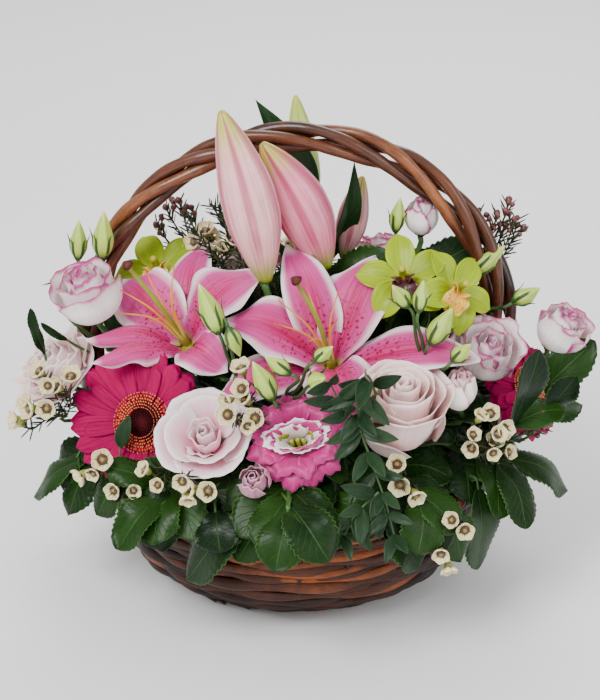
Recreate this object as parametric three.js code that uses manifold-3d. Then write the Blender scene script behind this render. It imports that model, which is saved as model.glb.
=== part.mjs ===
// A flower basket arrangement: a round basket of split willow with a twisted rod handle,
// a liner and a block of wet foam, and the blooms, buds, filler and leaves that stand in it.
// Millimetres, +Z up, the front towards -Y, the origin in the middle of the underside.
import * as THREE from 'three';
import { mergeVertices } from 'three/addons/utils/BufferGeometryUtils.js';
import Module from 'manifold-3d';

const wasm = await Module();
wasm.setup();

// Driving sizes of the basket
const GAP = 0.3;
const SECTORS = 24;
const LINER_SECTORS = 12;
const BASE_RADIUS = 88;
const BASE_THICKNESS = 8;
const WALL_TOP = 99.5;
const WALL_THICKNESS = 7;
const WEAVE_RELIEF = 1.5;
const RIM_RADIUS = 161;
const RIM_HEIGHT = 108.8;
const RIM_HALF_WIDTH = 13.5;
const RIM_HALF_HEIGHT = 8;
const HANDLE_HALF_WIDTH = 165;
const HANDLE_SPRING = 188;
const HANDLE_TOP = 363;
const ROD_RADIUS = 4.6;
const ROD_SPREAD = 7.7;
const ROD_COUNT = 4;

// Driving sizes of the foam and of the stems that stand in it
const FOAM_FLOOR = 10.8;
const FOAM_TOP = 138;
const FOAM_SHOULDER = 118;
const FOAM_RADIUS = 112;
const FOAM_TOP_RADIUS = 90;
const STEM_DEPTH = 36;
const HOLE_PLAY = 0.7;
const STEM_FOCUS = new THREE.Vector3(0, 0, 18);

const DEGREE = Math.PI / 180;
const TURN = Math.PI * 2;
const UP = new THREE.Vector3(0, 0, 1);

const vec = (x, y, z) => new THREE.Vector3(x, y, z);
const along = (point, direction, distance) => point.clone().addScaledVector(direction, distance);
const between = (a, b, share) => a.clone().lerp(b, share);

// Random draws come from one seeded generator, so that every build is the same
let seed = 20417;
function random() {
  seed = (seed * 1664525 + 1013904223) % 4294967296;
  return seed / 4294967296;
}
const spread = (amount) => (random() * 2 - 1) * amount;

// Solids

function toSolid(positions, triangles) {
  let volume = 0;
  const at = (i) => vec(positions[3 * i], positions[3 * i + 1], positions[3 * i + 2]);
  for (let i = 0; i < triangles.length; i += 3) {
    volume += at(triangles[i]).dot(at(triangles[i + 1]).cross(at(triangles[i + 2])));
  }
  const outward = [];
  for (let i = 0; i < triangles.length; i += 3) {
    const [a, b, c] = triangles.slice(i, i + 3);
    outward.push(...(volume > 0 ? [a, b, c] : [a, c, b]));
  }
  return new wasm.Manifold(new wasm.Mesh({
    numProp: 3,
    vertProperties: new Float32Array(positions),
    triVerts: new Uint32Array(outward),
  }));
}

// A three.js geometry as a solid, without the flat triangles that lie at its poles
function fromGeometry(geometry, matrix = new THREE.Matrix4()) {
  const bare = new THREE.BufferGeometry();
  bare.setAttribute('position', geometry.getAttribute('position').clone());
  bare.setIndex(geometry.getIndex());
  bare.applyMatrix4(matrix);
  const merged = mergeVertices(bare, 1e-4);
  const source = merged.getIndex().array;
  const triangles = [];
  for (let i = 0; i < source.length; i += 3) {
    const [a, b, c] = source.slice(i, i + 3);
    if (a !== b && b !== c && c !== a) triangles.push(a, b, c);
  }
  return toSolid(Array.from(merged.getAttribute('position').array), triangles);
}

// A skin over rings of points, which may differ in number; a ring of one point closes it there
function loft(rings, closed = false) {
  const positions = [];
  const triangles = [];
  const starts = [];
  for (const ring of rings) {
    starts.push(positions.length / 3);
    for (const point of ring) positions.push(point.x, point.y, point.z);
  }
  const bands = closed ? rings.length : rings.length - 1;
  for (let k = 0; k < bands; k++) {
    const next = (k + 1) % rings.length;
    const [a, b] = [starts[k], starts[next]];
    const [m, n] = [rings[k].length, rings[next].length];
    const most = Math.max(m, n);
    for (let i = 0; i < most; i++) {
      const j = (i + 1) % most;
      if (m === 1) triangles.push(a, b + i, b + j);
      else if (n === 1) triangles.push(a + i, b, a + j);
      else if (m === n) {
        // The shorter way across a four-sided face, so that both sides of a thin wall fold alike
        const rising = rings[k][i].distanceTo(rings[next][j]);
        const falling = rings[next][i].distanceTo(rings[k][j]);
        if (rising <= falling) triangles.push(a + i, b + i, b + j, a + i, b + j, a + j);
        else triangles.push(a + i, b + i, a + j, b + i, b + j, a + j);
      }
      else {
        const least = Math.min(m, n);
        const near = Math.round((i * least) / most) % least;
        const far = Math.round(((i + 1) * least) / most) % least;
        if (m < n) triangles.push(a + near, b + i, b + j);
        else triangles.push(a + i, b + near, a + j);
        if (near !== far && m < n) triangles.push(a + near, b + j, a + far);
        if (near !== far && m > n) triangles.push(a + j, b + near, b + far);
      }
    }
  }
  if (!closed) {
    const first = rings[0];
    for (let i = 1; i < first.length - 1; i++) triangles.push(starts[0], starts[0] + i, starts[0] + i + 1);
    const last = rings[rings.length - 1];
    const end = starts[rings.length - 1];
    for (let i = 1; i < last.length - 1; i++) triangles.push(end, end + i + 1, end + i);
  }
  return toSolid(positions, triangles);
}

// Two directions square to a given one, always chosen the same way
function crossAxes(direction) {
  const reference = Math.abs(direction.z) > 0.9 ? vec(1, 0, 0) : UP;
  const u = new THREE.Vector3().crossVectors(direction, reference).normalize();
  const v = new THREE.Vector3().crossVectors(direction, u).normalize();
  return [u, v];
}

// Cross axes carried along a path, so that a skin over it doesn't twist
function carriedAxes(directions, first) {
  let u = first ?? crossAxes(directions[0])[0];
  return directions.map((direction) => {
    u = along(u, direction, -u.dot(direction)).normalize();
    return [u, new THREE.Vector3().crossVectors(direction, u)];
  });
}

function ringOn([u, v], centre, radius, sides, lobe = 0) {
  if (radius === 0) return [centre];
  const ring = [];
  for (let i = 0; i < sides; i++) {
    const angle = (i / sides) * TURN;
    const reach = radius * (i % 2 ? 1 - lobe : 1);
    ring.push(along(along(centre, u, reach * Math.cos(angle)), v, reach * Math.sin(angle)));
  }
  return ring;
}

function directionsOf(points) {
  return points.map((point, k) => {
    const before = points[Math.max(0, k - 1)];
    const after = points[Math.min(points.length - 1, k + 1)];
    const entering = point.clone().sub(before).normalize();
    const leaving = after.clone().sub(point).normalize();
    return entering.add(leaving).normalize();
  });
}

// A straight-sided stem through a few points
function rod(points, radii, sides = 5) {
  const axes = carriedAxes(directionsOf(points));
  return loft(points.map((point, k) => (
    ringOn(axes[k], point, Array.isArray(radii) ? radii[k] : radii, sides)
  )));
}

// A thin branch that runs into its head as one skin. The head's rings are given by their height
// along its axis, their radius, their points and how deep they are lobed
function headed(path, axis, thin, profile) {
  const sides = 3;
  const last = path.length - 1;
  const directions = directionsOf(path);
  directions[last] = directions[last].clone().add(axis).normalize();
  if (directions[last].length() < 0.5) directions[last] = axis.clone();
  const axes = carriedAxes([...directions, axis]);
  const rings = path.map((point, k) => ringOn(axes[k], point, thin, sides));
  for (const [height, radius, points = sides, lobe = 0] of profile) {
    rings.push(ringOn(axes[last + 1], along(path[last], axis, height), radius, points, lobe));
  }
  return loft(rings);
}

// A body of revolution about any axis, with lobes round it and a twist along it
function spindle({ base, tip, profile, sides = 6, lobes = 0, lobeDepth = 0, twist = 0 }) {
  const direction = tip.clone().sub(base).normalize();
  const [u, v] = crossAxes(direction);
  const rings = profile.map(([share, radius]) => {
    const centre = between(base, tip, share);
    if (radius === 0) return [centre];
    const ring = [];
    for (let i = 0; i < sides; i++) {
      const angle = (i / sides) * TURN;
      const reach = radius * (1 + lobeDepth * Math.cos(lobes * angle));
      const turned = angle + twist * share;
      ring.push(along(along(centre, u, reach * Math.cos(turned)), v, reach * Math.sin(turned)));
    }
    return ring;
  });
  return loft(rings);
}

// Blades: petals, leaves and straps, each a thin lens over a curved middle line

const OUTLINES = {
  lily: (t) => Math.sin(Math.PI * (0.02 + 0.98 * t)) ** 0.8,
  leaf: (t) => Math.max(0.07, Math.sin(Math.PI * t ** 0.8) ** 0.85),
  lance: (t) => Math.max(0.18, Math.sin(Math.PI * t ** 0.72) ** 0.7),
  ray: (t) => (0.3 + 0.7 * Math.min(1, t * 1.3)) * Math.sqrt(1 - Math.max(0, (t - 0.7) / 0.3) ** 2),
  round: (t) => Math.sin(Math.PI * (0.04 + 0.96 * t)) ** 0.6,
};
const STRAIGHT = { turn: 0, lift: 0, size: 1 };

function blade(spec) {
  const { width, outline, curl = 0, tuck = 0, wave = 0, waves = 2, phase = 0, teeth = 0 } = spec;
  const { thickness = 1.1, rows = 4, columns = 2, swing = STRAIGHT } = spec;
  const root = spec.root;
  const start = spec.mid.clone().sub(root).normalize();
  const face = new THREE.Vector3().crossVectors(spec.side, start).normalize();
  const bend = (point) => point.clone().sub(root).multiplyScalar(swing.size)
    .applyAxisAngle(spec.side, swing.lift).applyAxisAngle(face, swing.turn).add(root);
  const side = spec.side.clone().applyAxisAngle(face, swing.turn);
  const curve = new THREE.QuadraticBezierCurve3(root, bend(spec.mid), bend(spec.tip));
  const tops = [];
  const bottoms = [];
  for (let k = 0; k <= rows; k++) {
    const t = Math.sin((k / rows) * Math.PI * 0.5) * 0.5 + (k / rows) * 0.5;
    const centre = curve.getPoint(t);
    if (k === rows) {
      tops.push([centre]);
      bottoms.push([centre]);
      continue;
    }
    const normal = new THREE.Vector3().crossVectors(side, curve.getTangent(t)).normalize();
    const bite = k % 2 === 1 ? 1 - teeth : 1;
    const half = 0.5 * width * swing.size * OUTLINES[outline](t) * bite;
    const top = [];
    const bottom = [];
    for (let j = 0; j <= columns; j++) {
      const u = (2 * j) / columns - 1;
      const angle = u * curl;
      const across = curl === 0 ? half * u : (half * Math.sin(angle)) / curl;
      const lift = curl === 0 ? 0 : (half * (1 - Math.cos(angle))) / curl;
      const ripple = wave * u * u * Math.sin(waves * TURN * t + phase + u);
      const point = along(along(centre, side, across), normal, lift + ripple + tuck * u * t);
      const depth = 0.5 * thickness * (1 - u * u) * (1 - 0.4 * t);
      top.push(along(point, normal, depth));
      bottom.push(along(point, normal, -depth));
    }
    tops.push(top);
    bottoms.push(bottom);
  }
  return stitchBlade(tops, bottoms, columns);
}

// Joins the two faces of a blade; both are split into triangles alike
function stitchBlade(tops, bottoms, columns) {
  const positions = [];
  const triangles = [];
  const add = (point) => positions.push(point.x, point.y, point.z) / 3 - 1;
  const upper = [];
  const lower = [];
  for (let k = 0; k < tops.length; k++) {
    upper.push(tops[k].map(add));
    lower.push(bottoms[k].map((point, j) => (
      j === 0 || j === columns || bottoms[k].length === 1 ? upper[k][j] : add(point)
    )));
  }
  const last = tops.length - 1;
  for (let k = 0; k < last; k++) {
    for (let j = 0; j < columns; j++) {
      const [a, b] = [upper[k][j], upper[k][j + 1]];
      const [e, f] = [lower[k][j], lower[k][j + 1]];
      if (k === last - 1) {
        triangles.push(a, b, upper[last][0], e, upper[last][0], f);
        continue;
      }
      const [d, c] = [upper[k + 1][j], upper[k + 1][j + 1]];
      const [h, g] = [lower[k + 1][j], lower[k + 1][j + 1]];
      triangles.push(a, b, c, a, c, d, e, g, f, e, h, g);
    }
  }
  for (let j = 0; j < columns; j++) {
    const [a, b, e, f] = [upper[0][j], upper[0][j + 1], lower[0][j], lower[0][j + 1]];
    if (a !== e) triangles.push(b, a, e);
    if (b !== f) triangles.push(b, e, f);
  }
  return toSolid(positions, triangles);
}

// A leaf or strap given by its two ends, arched towards up
function leaf({ root, tip, up = UP, arch = 6, ...rest }) {
  const side = new THREE.Vector3().crossVectors(tip.clone().sub(root), up).normalize();
  const mid = along(between(root, tip, 0.5), up, arch);
  return blade({ root, mid, tip, side, outline: 'leaf', ...rest });
}

// The frame of a bloom: its centre, the way that it faces, and the way out at each angle
function bloomFrame(centre, facing) {
  const axis = facing.clone().normalize();
  const east = new THREE.Vector3().crossVectors(vec(0, 1, 0.05), axis).normalize();
  const north = new THREE.Vector3().crossVectors(axis, east).normalize();
  const outAt = (degrees) => east.clone().multiplyScalar(Math.cos(degrees * DEGREE))
    .addScaledVector(north, Math.sin(degrees * DEGREE));
  const at = (degrees, reach, height) => along(along(centre, outAt(degrees), reach), axis, height);
  return { centre, axis, outAt, at };
}

// A petal whose root, middle and tip are given as reach from the axis and height along it
function petal(frame, { angle, root, mid, tip, ...rest }) {
  const side = new THREE.Vector3().crossVectors(frame.outAt(angle), frame.axis).normalize();
  return blade({
    root: frame.at(angle, ...root),
    mid: frame.at(angle, ...mid),
    tip: frame.at(angle, ...tip),
    side,
    ...rest,
  });
}

// Finished nodes and the room left between them

const basket = new THREE.Group();
const settled = [];

function boxesApart(a, b, margin) {
  return [0, 1, 2].some((i) => a.min[i] > b.max[i] + margin || b.min[i] > a.max[i] + margin);
}

function isClear(solid) {
  const box = solid.boundingBox();
  return settled.every((other) => (
    boxesApart(box, other.box, GAP) || solid.minGap(other.solid, GAP) >= GAP * 0.99
  ));
}

function claim(name, solid) {
  settled.push({ name, solid, box: solid.boundingBox() });
}

// One body from many parts; loose scraps are left out
function fuse(parts) {
  const bodies = wasm.Manifold.union(parts).decompose();
  bodies.sort((a, b) => b.volume() - a.volume());
  return bodies[0];
}

function addNode(name, parts, colour, roughness = 0.6) {
  const solid = fuse(parts);
  claim(name, solid);
  const mesh = solid.getMesh();
  const geometry = new THREE.BufferGeometry();
  geometry.setAttribute('position', new THREE.BufferAttribute(new Float32Array(mesh.vertProperties), 3));
  geometry.setIndex(new THREE.BufferAttribute(new Uint32Array(mesh.triVerts), 1));
  const material = new THREE.MeshStandardMaterial({ color: colour, roughness, metalness: 0 });
  const node = new THREE.Mesh(geometry, material);
  node.name = name;
  basket.add(node);
  return solid;
}

const COMPASS = [[0, 1], [1, 0], [-1, 0], [0, -1], [0.7, 0.7], [-0.7, 0.7], [0.7, -0.7], [-0.7, -0.7]];
const SWINGS = [STRAIGHT];
for (const size of [1, 0.86, 0.72]) {
  for (const reach of [7, 14, 22, 32]) {
    for (const [turn, lift] of COMPASS) {
      SWINGS.push({ turn: turn * reach * DEGREE, lift: lift * reach * DEGREE, size });
    }
  }
}

// The first of a piece's swings that clears every finished node
function grow(make, avoid = []) {
  for (const swing of SWINGS) {
    const solid = make(swing);
    if (isClear(solid) && avoid.every((other) => solid.minGap(other, 0.1) > 0)) return [solid];
  }
  return [];
}

const growLeaf = (spec, avoid) => grow((swing) => leaf({ ...spec, swing }), avoid);
const growPetal = (frame, spec) => grow((swing) => petal(frame, { ...spec, swing }));

// Stems: each leaves its head backwards, bends in over the foam and ends straight in its hole

const stemHoles = [];

function foamSurface(azimuth, radius) {
  const slope = (FOAM_TOP - FOAM_SHOULDER) / (FOAM_RADIUS - FOAM_TOP_RADIUS);
  const height = FOAM_TOP - Math.max(0, radius - FOAM_TOP_RADIUS) * slope;
  return vec(radius * Math.cos(azimuth), radius * Math.sin(azimuth), height);
}

const ENTRY_SHIFTS = [];
for (const [turn, inward] of [[0, 0], [8, 0], [-8, 0], [0, -14], [0, 12], [15, -6], [-15, -6],
  [22, 0], [-22, 0], [12, -26], [-12, -26], [30, -12], [-30, -12], [0, -40], [40, -30], [-40, -30]]) {
  ENTRY_SHIFTS.push({ turn: turn * DEGREE, inward });
}

const VIA_SHIFTS = [
  [0, 0], [0, -12], [14, 0], [-14, 0], [0, -24], [16, -14], [-16, -14], [0, 12], [26, -6], [-26, -6],
];

function stem(head, leave, radius, { sides = 3, run = 16, inset = 0.5, lead = [], first } = {}) {
  for (const [sideways, upward] of VIA_SHIFTS) {
    for (const shift of ENTRY_SHIFTS) {
      const azimuth = Math.atan2(head.y, head.x);
      const reach = Math.max(4, Math.min(100, Math.hypot(head.x, head.y) * inset + shift.inward));
      const entry = foamSurface(azimuth + shift.turn, reach);
      const outward = entry.clone().sub(STEM_FOCUS).normalize();
      const neck = along(head, leave, run);
      const bend = along(entry, outward, 14);
      const collar = along(entry, outward, 5);
      const end = along(entry, outward, -STEM_DEPTH);
      const points = [...lead, head, neck, bend, collar, end];
      if (sideways !== 0 || upward !== 0) {
        const across = vec(-Math.sin(azimuth), Math.cos(azimuth), 0);
        const via = along(between(neck, bend, 0.5), across, sideways).addScaledVector(UP, upward);
        points.splice(lead.length + 2, 0, via);
      }
      const axes = carriedAxes(directionsOf(points), first);
      const rings = points.map((point, k) => ringOn(axes[k], point, radius, sides));
      const solid = loft(rings);
      if (isClear(solid)) {
        const deep = along(end, outward, -HOLE_PLAY);
        stemHoles.push(loft([collar, deep].map((point) => (
          ringOn(axes[axes.length - 1], point, radius + HOLE_PLAY, sides)
        ))));
        return { solid: [solid], points: points.slice(lead.length), rings };
      }
    }
  }
  return { solid: [], points: [head, along(head, leave, run)], rings: [] };
}

// The basket

const WALL_PROFILE = [
  [88, 0], [103, 9], [117, 18], [130, 27.5], [139, 39], [146, 56], [152, 76], [158, WALL_TOP],
];

function sectorRing(radiusAt, height, sectors = SECTORS) {
  const ring = [];
  for (let i = 0; i < sectors; i++) {
    const angle = (i / sectors) * TURN;
    const radius = radiusAt(i, angle);
    ring.push(vec(radius * Math.cos(angle), radius * Math.sin(angle), height));
  }
  return ring;
}

function addBasketBase() {
  const spokes = (i) => BASE_RADIUS - WALL_THICKNESS - 0.5 - (i % 2 ? 0.8 : 0);
  addNode('basket_base', [loft([
    sectorRing(spokes, 0),
    sectorRing(spokes, BASE_THICKNESS),
  ])], 0x3a1c10, 0.7);
}

// The wall is a ring; its outside carries the over-and-under of the weave as relief
function addBasketWall() {
  const outer = WALL_PROFILE.map(([radius, height], k) => {
    const plain = k === 0 || k === WALL_PROFILE.length - 1;
    const relief = (i) => (plain ? 0 : WEAVE_RELIEF * ((i + k) % 2 ? 1 : -1));
    return sectorRing((i) => radius + relief(i), height);
  });
  const innerPoints = [7, 5, 4, 1, 0].map((k) => WALL_PROFILE[k]);
  const inner = innerPoints.map(([radius, height], k) => {
    const lifted = k === 0 || k === innerPoints.length - 1 ? height : height + 2;
    return sectorRing(() => radius - WALL_THICKNESS, lifted);
  });
  addNode('basket_wall', [loft([...outer, ...inner], true)], 0x4a2414, 0.6);
}

function addLiner() {
  const clearance = 1.6;
  const skin = 1.4;
  const floor = BASE_THICKNESS + GAP + 0.2;
  const outside = [[80, floor], [92.5, 12.4]];
  for (const k of [4, 7]) {
    const [radius, height] = WALL_PROFILE[k];
    const inward = WALL_THICKNESS + clearance + (k === 4 ? 4 : 0);
    outside.push([radius - inward, Math.min(height + 3.4, WALL_TOP - 2)]);
  }
  const rings = [[vec(0, 0, floor)]];
  for (const [radius, height] of outside) rings.push(sectorRing(() => radius, height, LINER_SECTORS));
  for (const [radius, height] of outside.slice().reverse()) {
    rings.push(sectorRing(() => radius - skin, height + (height > WALL_TOP - 3 ? 0 : skin), LINER_SECTORS));
  }
  rings.push([vec(0, 0, floor + skin)]);
  addNode('liner', [loft(rings)], 0x1c2a1c, 0.5);
}

function addFoam() {
  const profile = [[0, FOAM_FLOOR], [76, FOAM_FLOOR], [106, 52], [FOAM_RADIUS, FOAM_SHOULDER],
    [FOAM_TOP_RADIUS, FOAM_TOP], [0, FOAM_TOP]];
  const rings = profile.map(([radius, height]) => (
    radius === 0 ? [vec(0, 0, height)] : sectorRing(() => radius, height, 12)
  ));
  const block = loft(rings).subtract(wasm.Manifold.union(stemHoles));
  addNode('foam', [block], 0x2f5a34, 0.9);
}

// The handle: a hoop of rods that twist round each other and stand in the rim

const hoop = new THREE.CatmullRomCurve3([
  vec(RIM_RADIUS, 0, RIM_HEIGHT - 5),
  vec(RIM_RADIUS + 1.5, 0, 148),
  ...[0, 15, 30, 45, 60, 75, 90, 105, 120, 135, 150, 165, 180].map((degrees) => vec(
    HANDLE_HALF_WIDTH * Math.cos(degrees * DEGREE),
    0,
    HANDLE_SPRING + (HANDLE_TOP - HANDLE_SPRING) * Math.sin(degrees * DEGREE),
  )),
  vec(-RIM_RADIUS - 1.5, 0, 148),
  vec(-RIM_RADIUS, 0, RIM_HEIGHT - 5),
]);
const HOOP_STEPS = 22;
const HOOP_QUARTER_TURNS = 13;

function hoopRod(index, radius, deeper = 0) {
  const centres = [];
  for (let k = 0; k <= HOOP_STEPS; k++) {
    const share = k / HOOP_STEPS;
    const middle = hoop.getPointAt(share);
    const tangent = hoop.getTangentAt(share);
    const across = vec(0, 1, 0);
    const outward = new THREE.Vector3().crossVectors(across, tangent).normalize();
    const loose = 2.6 * Math.max(0, Math.sin(Math.PI * Math.min(1, share / 0.55)));
    const angle = (45 + 90 * index + 90 * HOOP_QUARTER_TURNS * share) * DEGREE;
    const reach = ROD_SPREAD + loose;
    centres.push(along(along(middle, outward, reach * Math.cos(angle)), across, reach * Math.sin(angle)));
  }
  centres[0] = along(centres[0], centres[0].clone().sub(centres[1]).normalize(), deeper);
  const last = centres[HOOP_STEPS - 1];
  centres[HOOP_STEPS] = along(centres[HOOP_STEPS], centres[HOOP_STEPS].clone().sub(last).normalize(), deeper);
  const rings = centres.map((centre, k) => {
    const before = centres[Math.max(0, k - 1)];
    const after = centres[Math.min(HOOP_STEPS, k + 1)];
    const tangent = after.clone().sub(before).normalize();
    const u = vec(0, 1, 0).addScaledVector(tangent, -tangent.y).normalize();
    const v = new THREE.Vector3().crossVectors(tangent, u);
    return [0, 1, 2, 3].map((i) => (
      along(along(centre, u, radius * Math.cos(i * TURN / 4)), v, radius * Math.sin(i * TURN / 4))
    ));
  });
  return loft(rings);
}

function addHandleAndRim() {
  const sectors = 24;
  const strands = 6;
  const rings = [];
  for (let i = 0; i < sectors; i++) {
    const theta = (i / sectors) * TURN;
    const outward = vec(Math.cos(theta), Math.sin(theta), 0);
    const ring = [];
    for (let j = 0; j < strands; j++) {
      const angle = ((j + 0.5) / strands) * TURN;
      const rope = 1 + 0.08 * Math.cos(3 * angle + (i % 2) * Math.PI);
      const reach = RIM_RADIUS + RIM_HALF_WIDTH * rope * Math.cos(angle);
      const height = RIM_HEIGHT + RIM_HALF_HEIGHT * rope * Math.sin(angle);
      ring.push(vec(outward.x * reach, outward.y * reach, height));
    }
    rings.push(ring);
  }
  let rim = loft(rings, true);
  for (let i = 0; i < ROD_COUNT; i++) rim = rim.subtract(hoopRod(i, ROD_RADIUS + HOLE_PLAY, HOLE_PLAY));
  addNode('basket_rim', [rim], 0x43200f, 0.6);
  for (let i = 0; i < ROD_COUNT; i++) {
    const cut = hoopRod(i, ROD_RADIUS);
    addNode(`handle_rod_${i + 1}`, [cut], 0x6b3418, 0.35);
  }
}

// Blooms

const throat = (frame, radius, height) => spindle({
  base: frame.centre,
  tip: along(frame.centre, frame.axis, height),
  profile: [[0, radius * 0.5], [0.55, radius], [1, 0]],
});

function addLily(name, centre, facing, angles, length, short = [], stemRadius = 0) {
  const frame = bloomFrame(centre, facing);
  const parts = [throat(frame, 9, 13)];
  angles.forEach((angle, i) => {
    const inner = i % 2 === 0;
    const droop = frame.outAt(angle).z < -0.2 ? 14 : 0;
    const reach = length * (short.includes(i) ? 0.64 : 1);
    parts.push(...growPetal(frame, {
      angle,
      root: [4, inner ? 8 : 2],
      mid: [reach * 0.42, reach * (inner ? 0.6 : 0.48)],
      tip: [reach * 0.9, reach * 0.3 - droop],
      width: inner ? 48 : 36,
      outline: 'lily',
      curl: 0.55,
      wave: 2.6,
      waves: 2,
      phase: i,
      rows: 4,
      thickness: 1.4,
    }));
  });
  if (stemRadius > 0) {
    parts.push(...stem(along(centre, frame.axis, 1), frame.axis.clone().negate(), stemRadius).solid);
  }
  addNode(name, parts, 0xe0719f);
  return frame;
}

function addStamens(name, frame, sweep) {
  const seat = along(frame.centre, frame.axis, 13.4);
  const ovary = spindle({
    base: seat,
    tip: along(seat, frame.axis, 12),
    profile: [[0, 2.6], [0.5, 3.4], [1, 0]],
    sides: 5,
  });
  const parts = [ovary];
  for (let i = 0; i < 6; i++) {
    const out = frame.outAt(30 + 60 * i);
    const start = along(along(seat, frame.axis, 5), out, 1.8);
    const end = along(along(seat, frame.axis, 60), out, 27).addScaledVector(sweep, 2.4);
    parts.push(...grow((swing) => rod([start, along(end, out, swing.turn * 30)], [1.2, 0.9], 3)));
  }
  const bend = along(seat, frame.axis, 46).add(sweep);
  const top = along(seat, frame.axis, 84).addScaledVector(sweep, 3.2);
  parts.push(rod([seat, bend, top], [1.8, 1.7, 1.6], 4));
  const stigma = top.clone().sub(bend).normalize();
  parts.push(rod([along(top, stigma, -1), along(top, stigma, 5)], [2.2, 4.2], 5));
  addNode(name, parts, 0xb7c26a);
}

const LILY_BUD = [[0, 4.5], [0.12, 10], [0.34, 18], [0.55, 18.5], [0.78, 12.5], [0.93, 5.5], [1, 0]];
const lilyBud = (base, tip, girth, sides = 9) => spindle({
  base,
  tip,
  profile: LILY_BUD.map(([share, radius]) => [share, radius * girth]),
  sides,
  lobes: 3,
  lobeDepth: 0.08,
});

// All the rays of a gerbera as one sheet with deep notches, every other ray raised and shorter
function raySheet(frame, radius, rays, squeeze) {
  const points = [];
  const triangles = [];
  const put = (share, reach, height) => {
    const point = frame.at((share / rays) * 360, reach * radius, height);
    return points.push(point.x, point.y, point.z) / 3 - 1;
  };
  const hubTop = put(0, 0, 3);
  const hubFoot = put(0, 0, -5);
  const notches = [];
  for (let i = 0; i < rays; i++) notches.push(put(i, 0.3, 0));
  for (let i = 0; i < rays; i++) {
    const raised = i % 2 ? 3.4 : -1.2;
    const reach = (i % 2 ? 0.9 : 1) * squeeze(i);
    const rim = [
      notches[i],
      put(i + 0.08, reach * 0.84, raised - 1),
      put(i + 0.5, reach, raised - 2.4),
      put(i + 0.92, reach * 0.84, raised - 1),
      notches[(i + 1) % rays],
    ];
    const faces = [
      [put(i + 0.5, reach * 0.55, raised + 1.4), hubTop],
      [put(i + 0.5, reach * 0.55, raised + 0.1), hubFoot],
    ];
    faces.forEach(([middle, hub], side) => {
      [hub, ...rim].forEach((point, k, loop) => {
        const next = loop[(k + 1) % loop.length];
        triangles.push(...(side ? [middle, next, point] : [middle, point, next]));
      });
    });
  }
  return toSolid(points, triangles);
}

function addGerbera(name, centre, facing, radius, rays, discApart = true) {
  const frame = bloomFrame(centre, facing);
  const lengths = Array.from({ length: rays }, () => 1 + spread(0.05));
  const squeezes = [1, 0.92, 0.84, 0.76, 0.68].map((share) => (i) => lengths[i] * share);
  const sheet = squeezes.map((squeeze) => raySheet(frame, radius, rays, squeeze)).find(isClear);
  const foot = stem(along(centre, frame.axis, -3), frame.axis.clone().negate(), 2.8);
  const parts = [sheet ?? raySheet(frame, radius, rays, squeezes[4]), ...foot.solid];
  if (discApart) {
    addNode(`${name}_rays`, parts, 0xd81b72);
    addNode(`${name}_disc`, [gerberaDisc(frame, 3.9)], 0xd9583a);
  } else {
    addNode(name, [...parts, gerberaDisc(frame, 2.4, 10)], 0xd81b72);
  }
}

function gerberaDisc(frame, lift, florets = 16) {
  const seat = along(frame.centre, frame.axis, lift);
  const profile = [[0, 7, 0], [2.6, 15, 0.12], [3.6, 9, 0.2]];
  const [u, v] = crossAxes(frame.axis);
  const rings = profile.map(([height, radius, relief], k) => {
    const ring = [];
    for (let i = 0; i < florets; i++) {
      const angle = (i / florets) * TURN;
      const reach = radius * (1 + relief * ((i + k) % 2 ? 1 : -1));
      const middle = along(seat, frame.axis, height);
      ring.push(along(along(middle, u, reach * Math.cos(angle)), v, reach * Math.sin(angle)));
    }
    return ring;
  });
  rings.push([along(seat, frame.axis, 3)]);
  return loft(rings);
}

// Each cup inside another is turned against it and stands higher by a step
const CUP_TURN = 31;
const CUP_STEP = 3.2;
const CUP_FLOOR = 2.6;
const CUP_SKIN = 1.5;

// The rings of one cup of petals, up its outside and down its inside; its edge is notched
// between the petals, and each petal bulges
function cupRings(frame, radius, height, { count, reach, open, tall, turn, lift, rows = 2 }) {
  const profile = new THREE.QuadraticBezierCurve(
    new THREE.Vector2(radius * 0.2, 0),
    new THREE.Vector2(radius * reach * 1.1, height * tall * 0.3),
    new THREE.Vector2(radius * open, height * tall),
  );
  const bulges = Array.from({ length: 2 * count }, () => spread(0.03));
  const ring = (k, skin) => {
    const points = [];
    for (let j = 0; j < 2 * count; j++) {
      const valley = j % 2 === 0;
      const point = profile.getPoint((k / rows) * (valley ? 0.78 : 1));
      const out = point.x * (valley ? 0.9 : 1 + bulges[j] * k) - skin;
      points.push(frame.at((j * 180) / count + turn, out, point.y + lift + skin * 0.6));
    }
    return points;
  };
  const rings = [];
  for (let k = 1; k <= rows; k++) rings.push(ring(k, 0));
  for (let k = rows - 1; k >= 1; k--) rings.push(ring(k, CUP_SKIN));
  return rings;
}

// A cupped bloom, a rose or a lisianthus, as one skin from its stem over each cup of petals,
// the outermost first, to the closed bud in its middle
function cupSkin(frame, { radius, height, rings, core = 0.3 }) {
  const skins = [];
  rings.slice().reverse().forEach((ring, k) => {
    const lift = CUP_STEP * k;
    const inner = rings[rings.length - 2 - k];
    skins.push(...cupRings(frame, radius, height, { ...ring, turn: CUP_TURN * k, lift }));
    const count = inner ? 2 * inner.count : 5;
    const seat = [];
    for (let i = 0; i < count; i++) {
      seat.push(frame.at((i * 360) / count + CUP_TURN * (k + 1), radius * 0.14, lift + CUP_FLOOR));
    }
    skins.push(seat);
  });
  const foot = CUP_STEP * (rings.length - 1) + CUP_FLOOR;
  for (const [share, reach] of [[0.4, core], [0.82, core * 0.8]]) {
    const ring = [];
    for (let i = 0; i < 5; i++) {
      const turn = CUP_TURN * rings.length + share * 40;
      ring.push(frame.at(i * 72 + turn, radius * reach, foot + (height * 0.84 - foot) * share));
    }
    skins.push(ring);
  }
  skins.push([frame.at(0, 0, height * 0.86)]);
  return skins;
}

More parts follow.
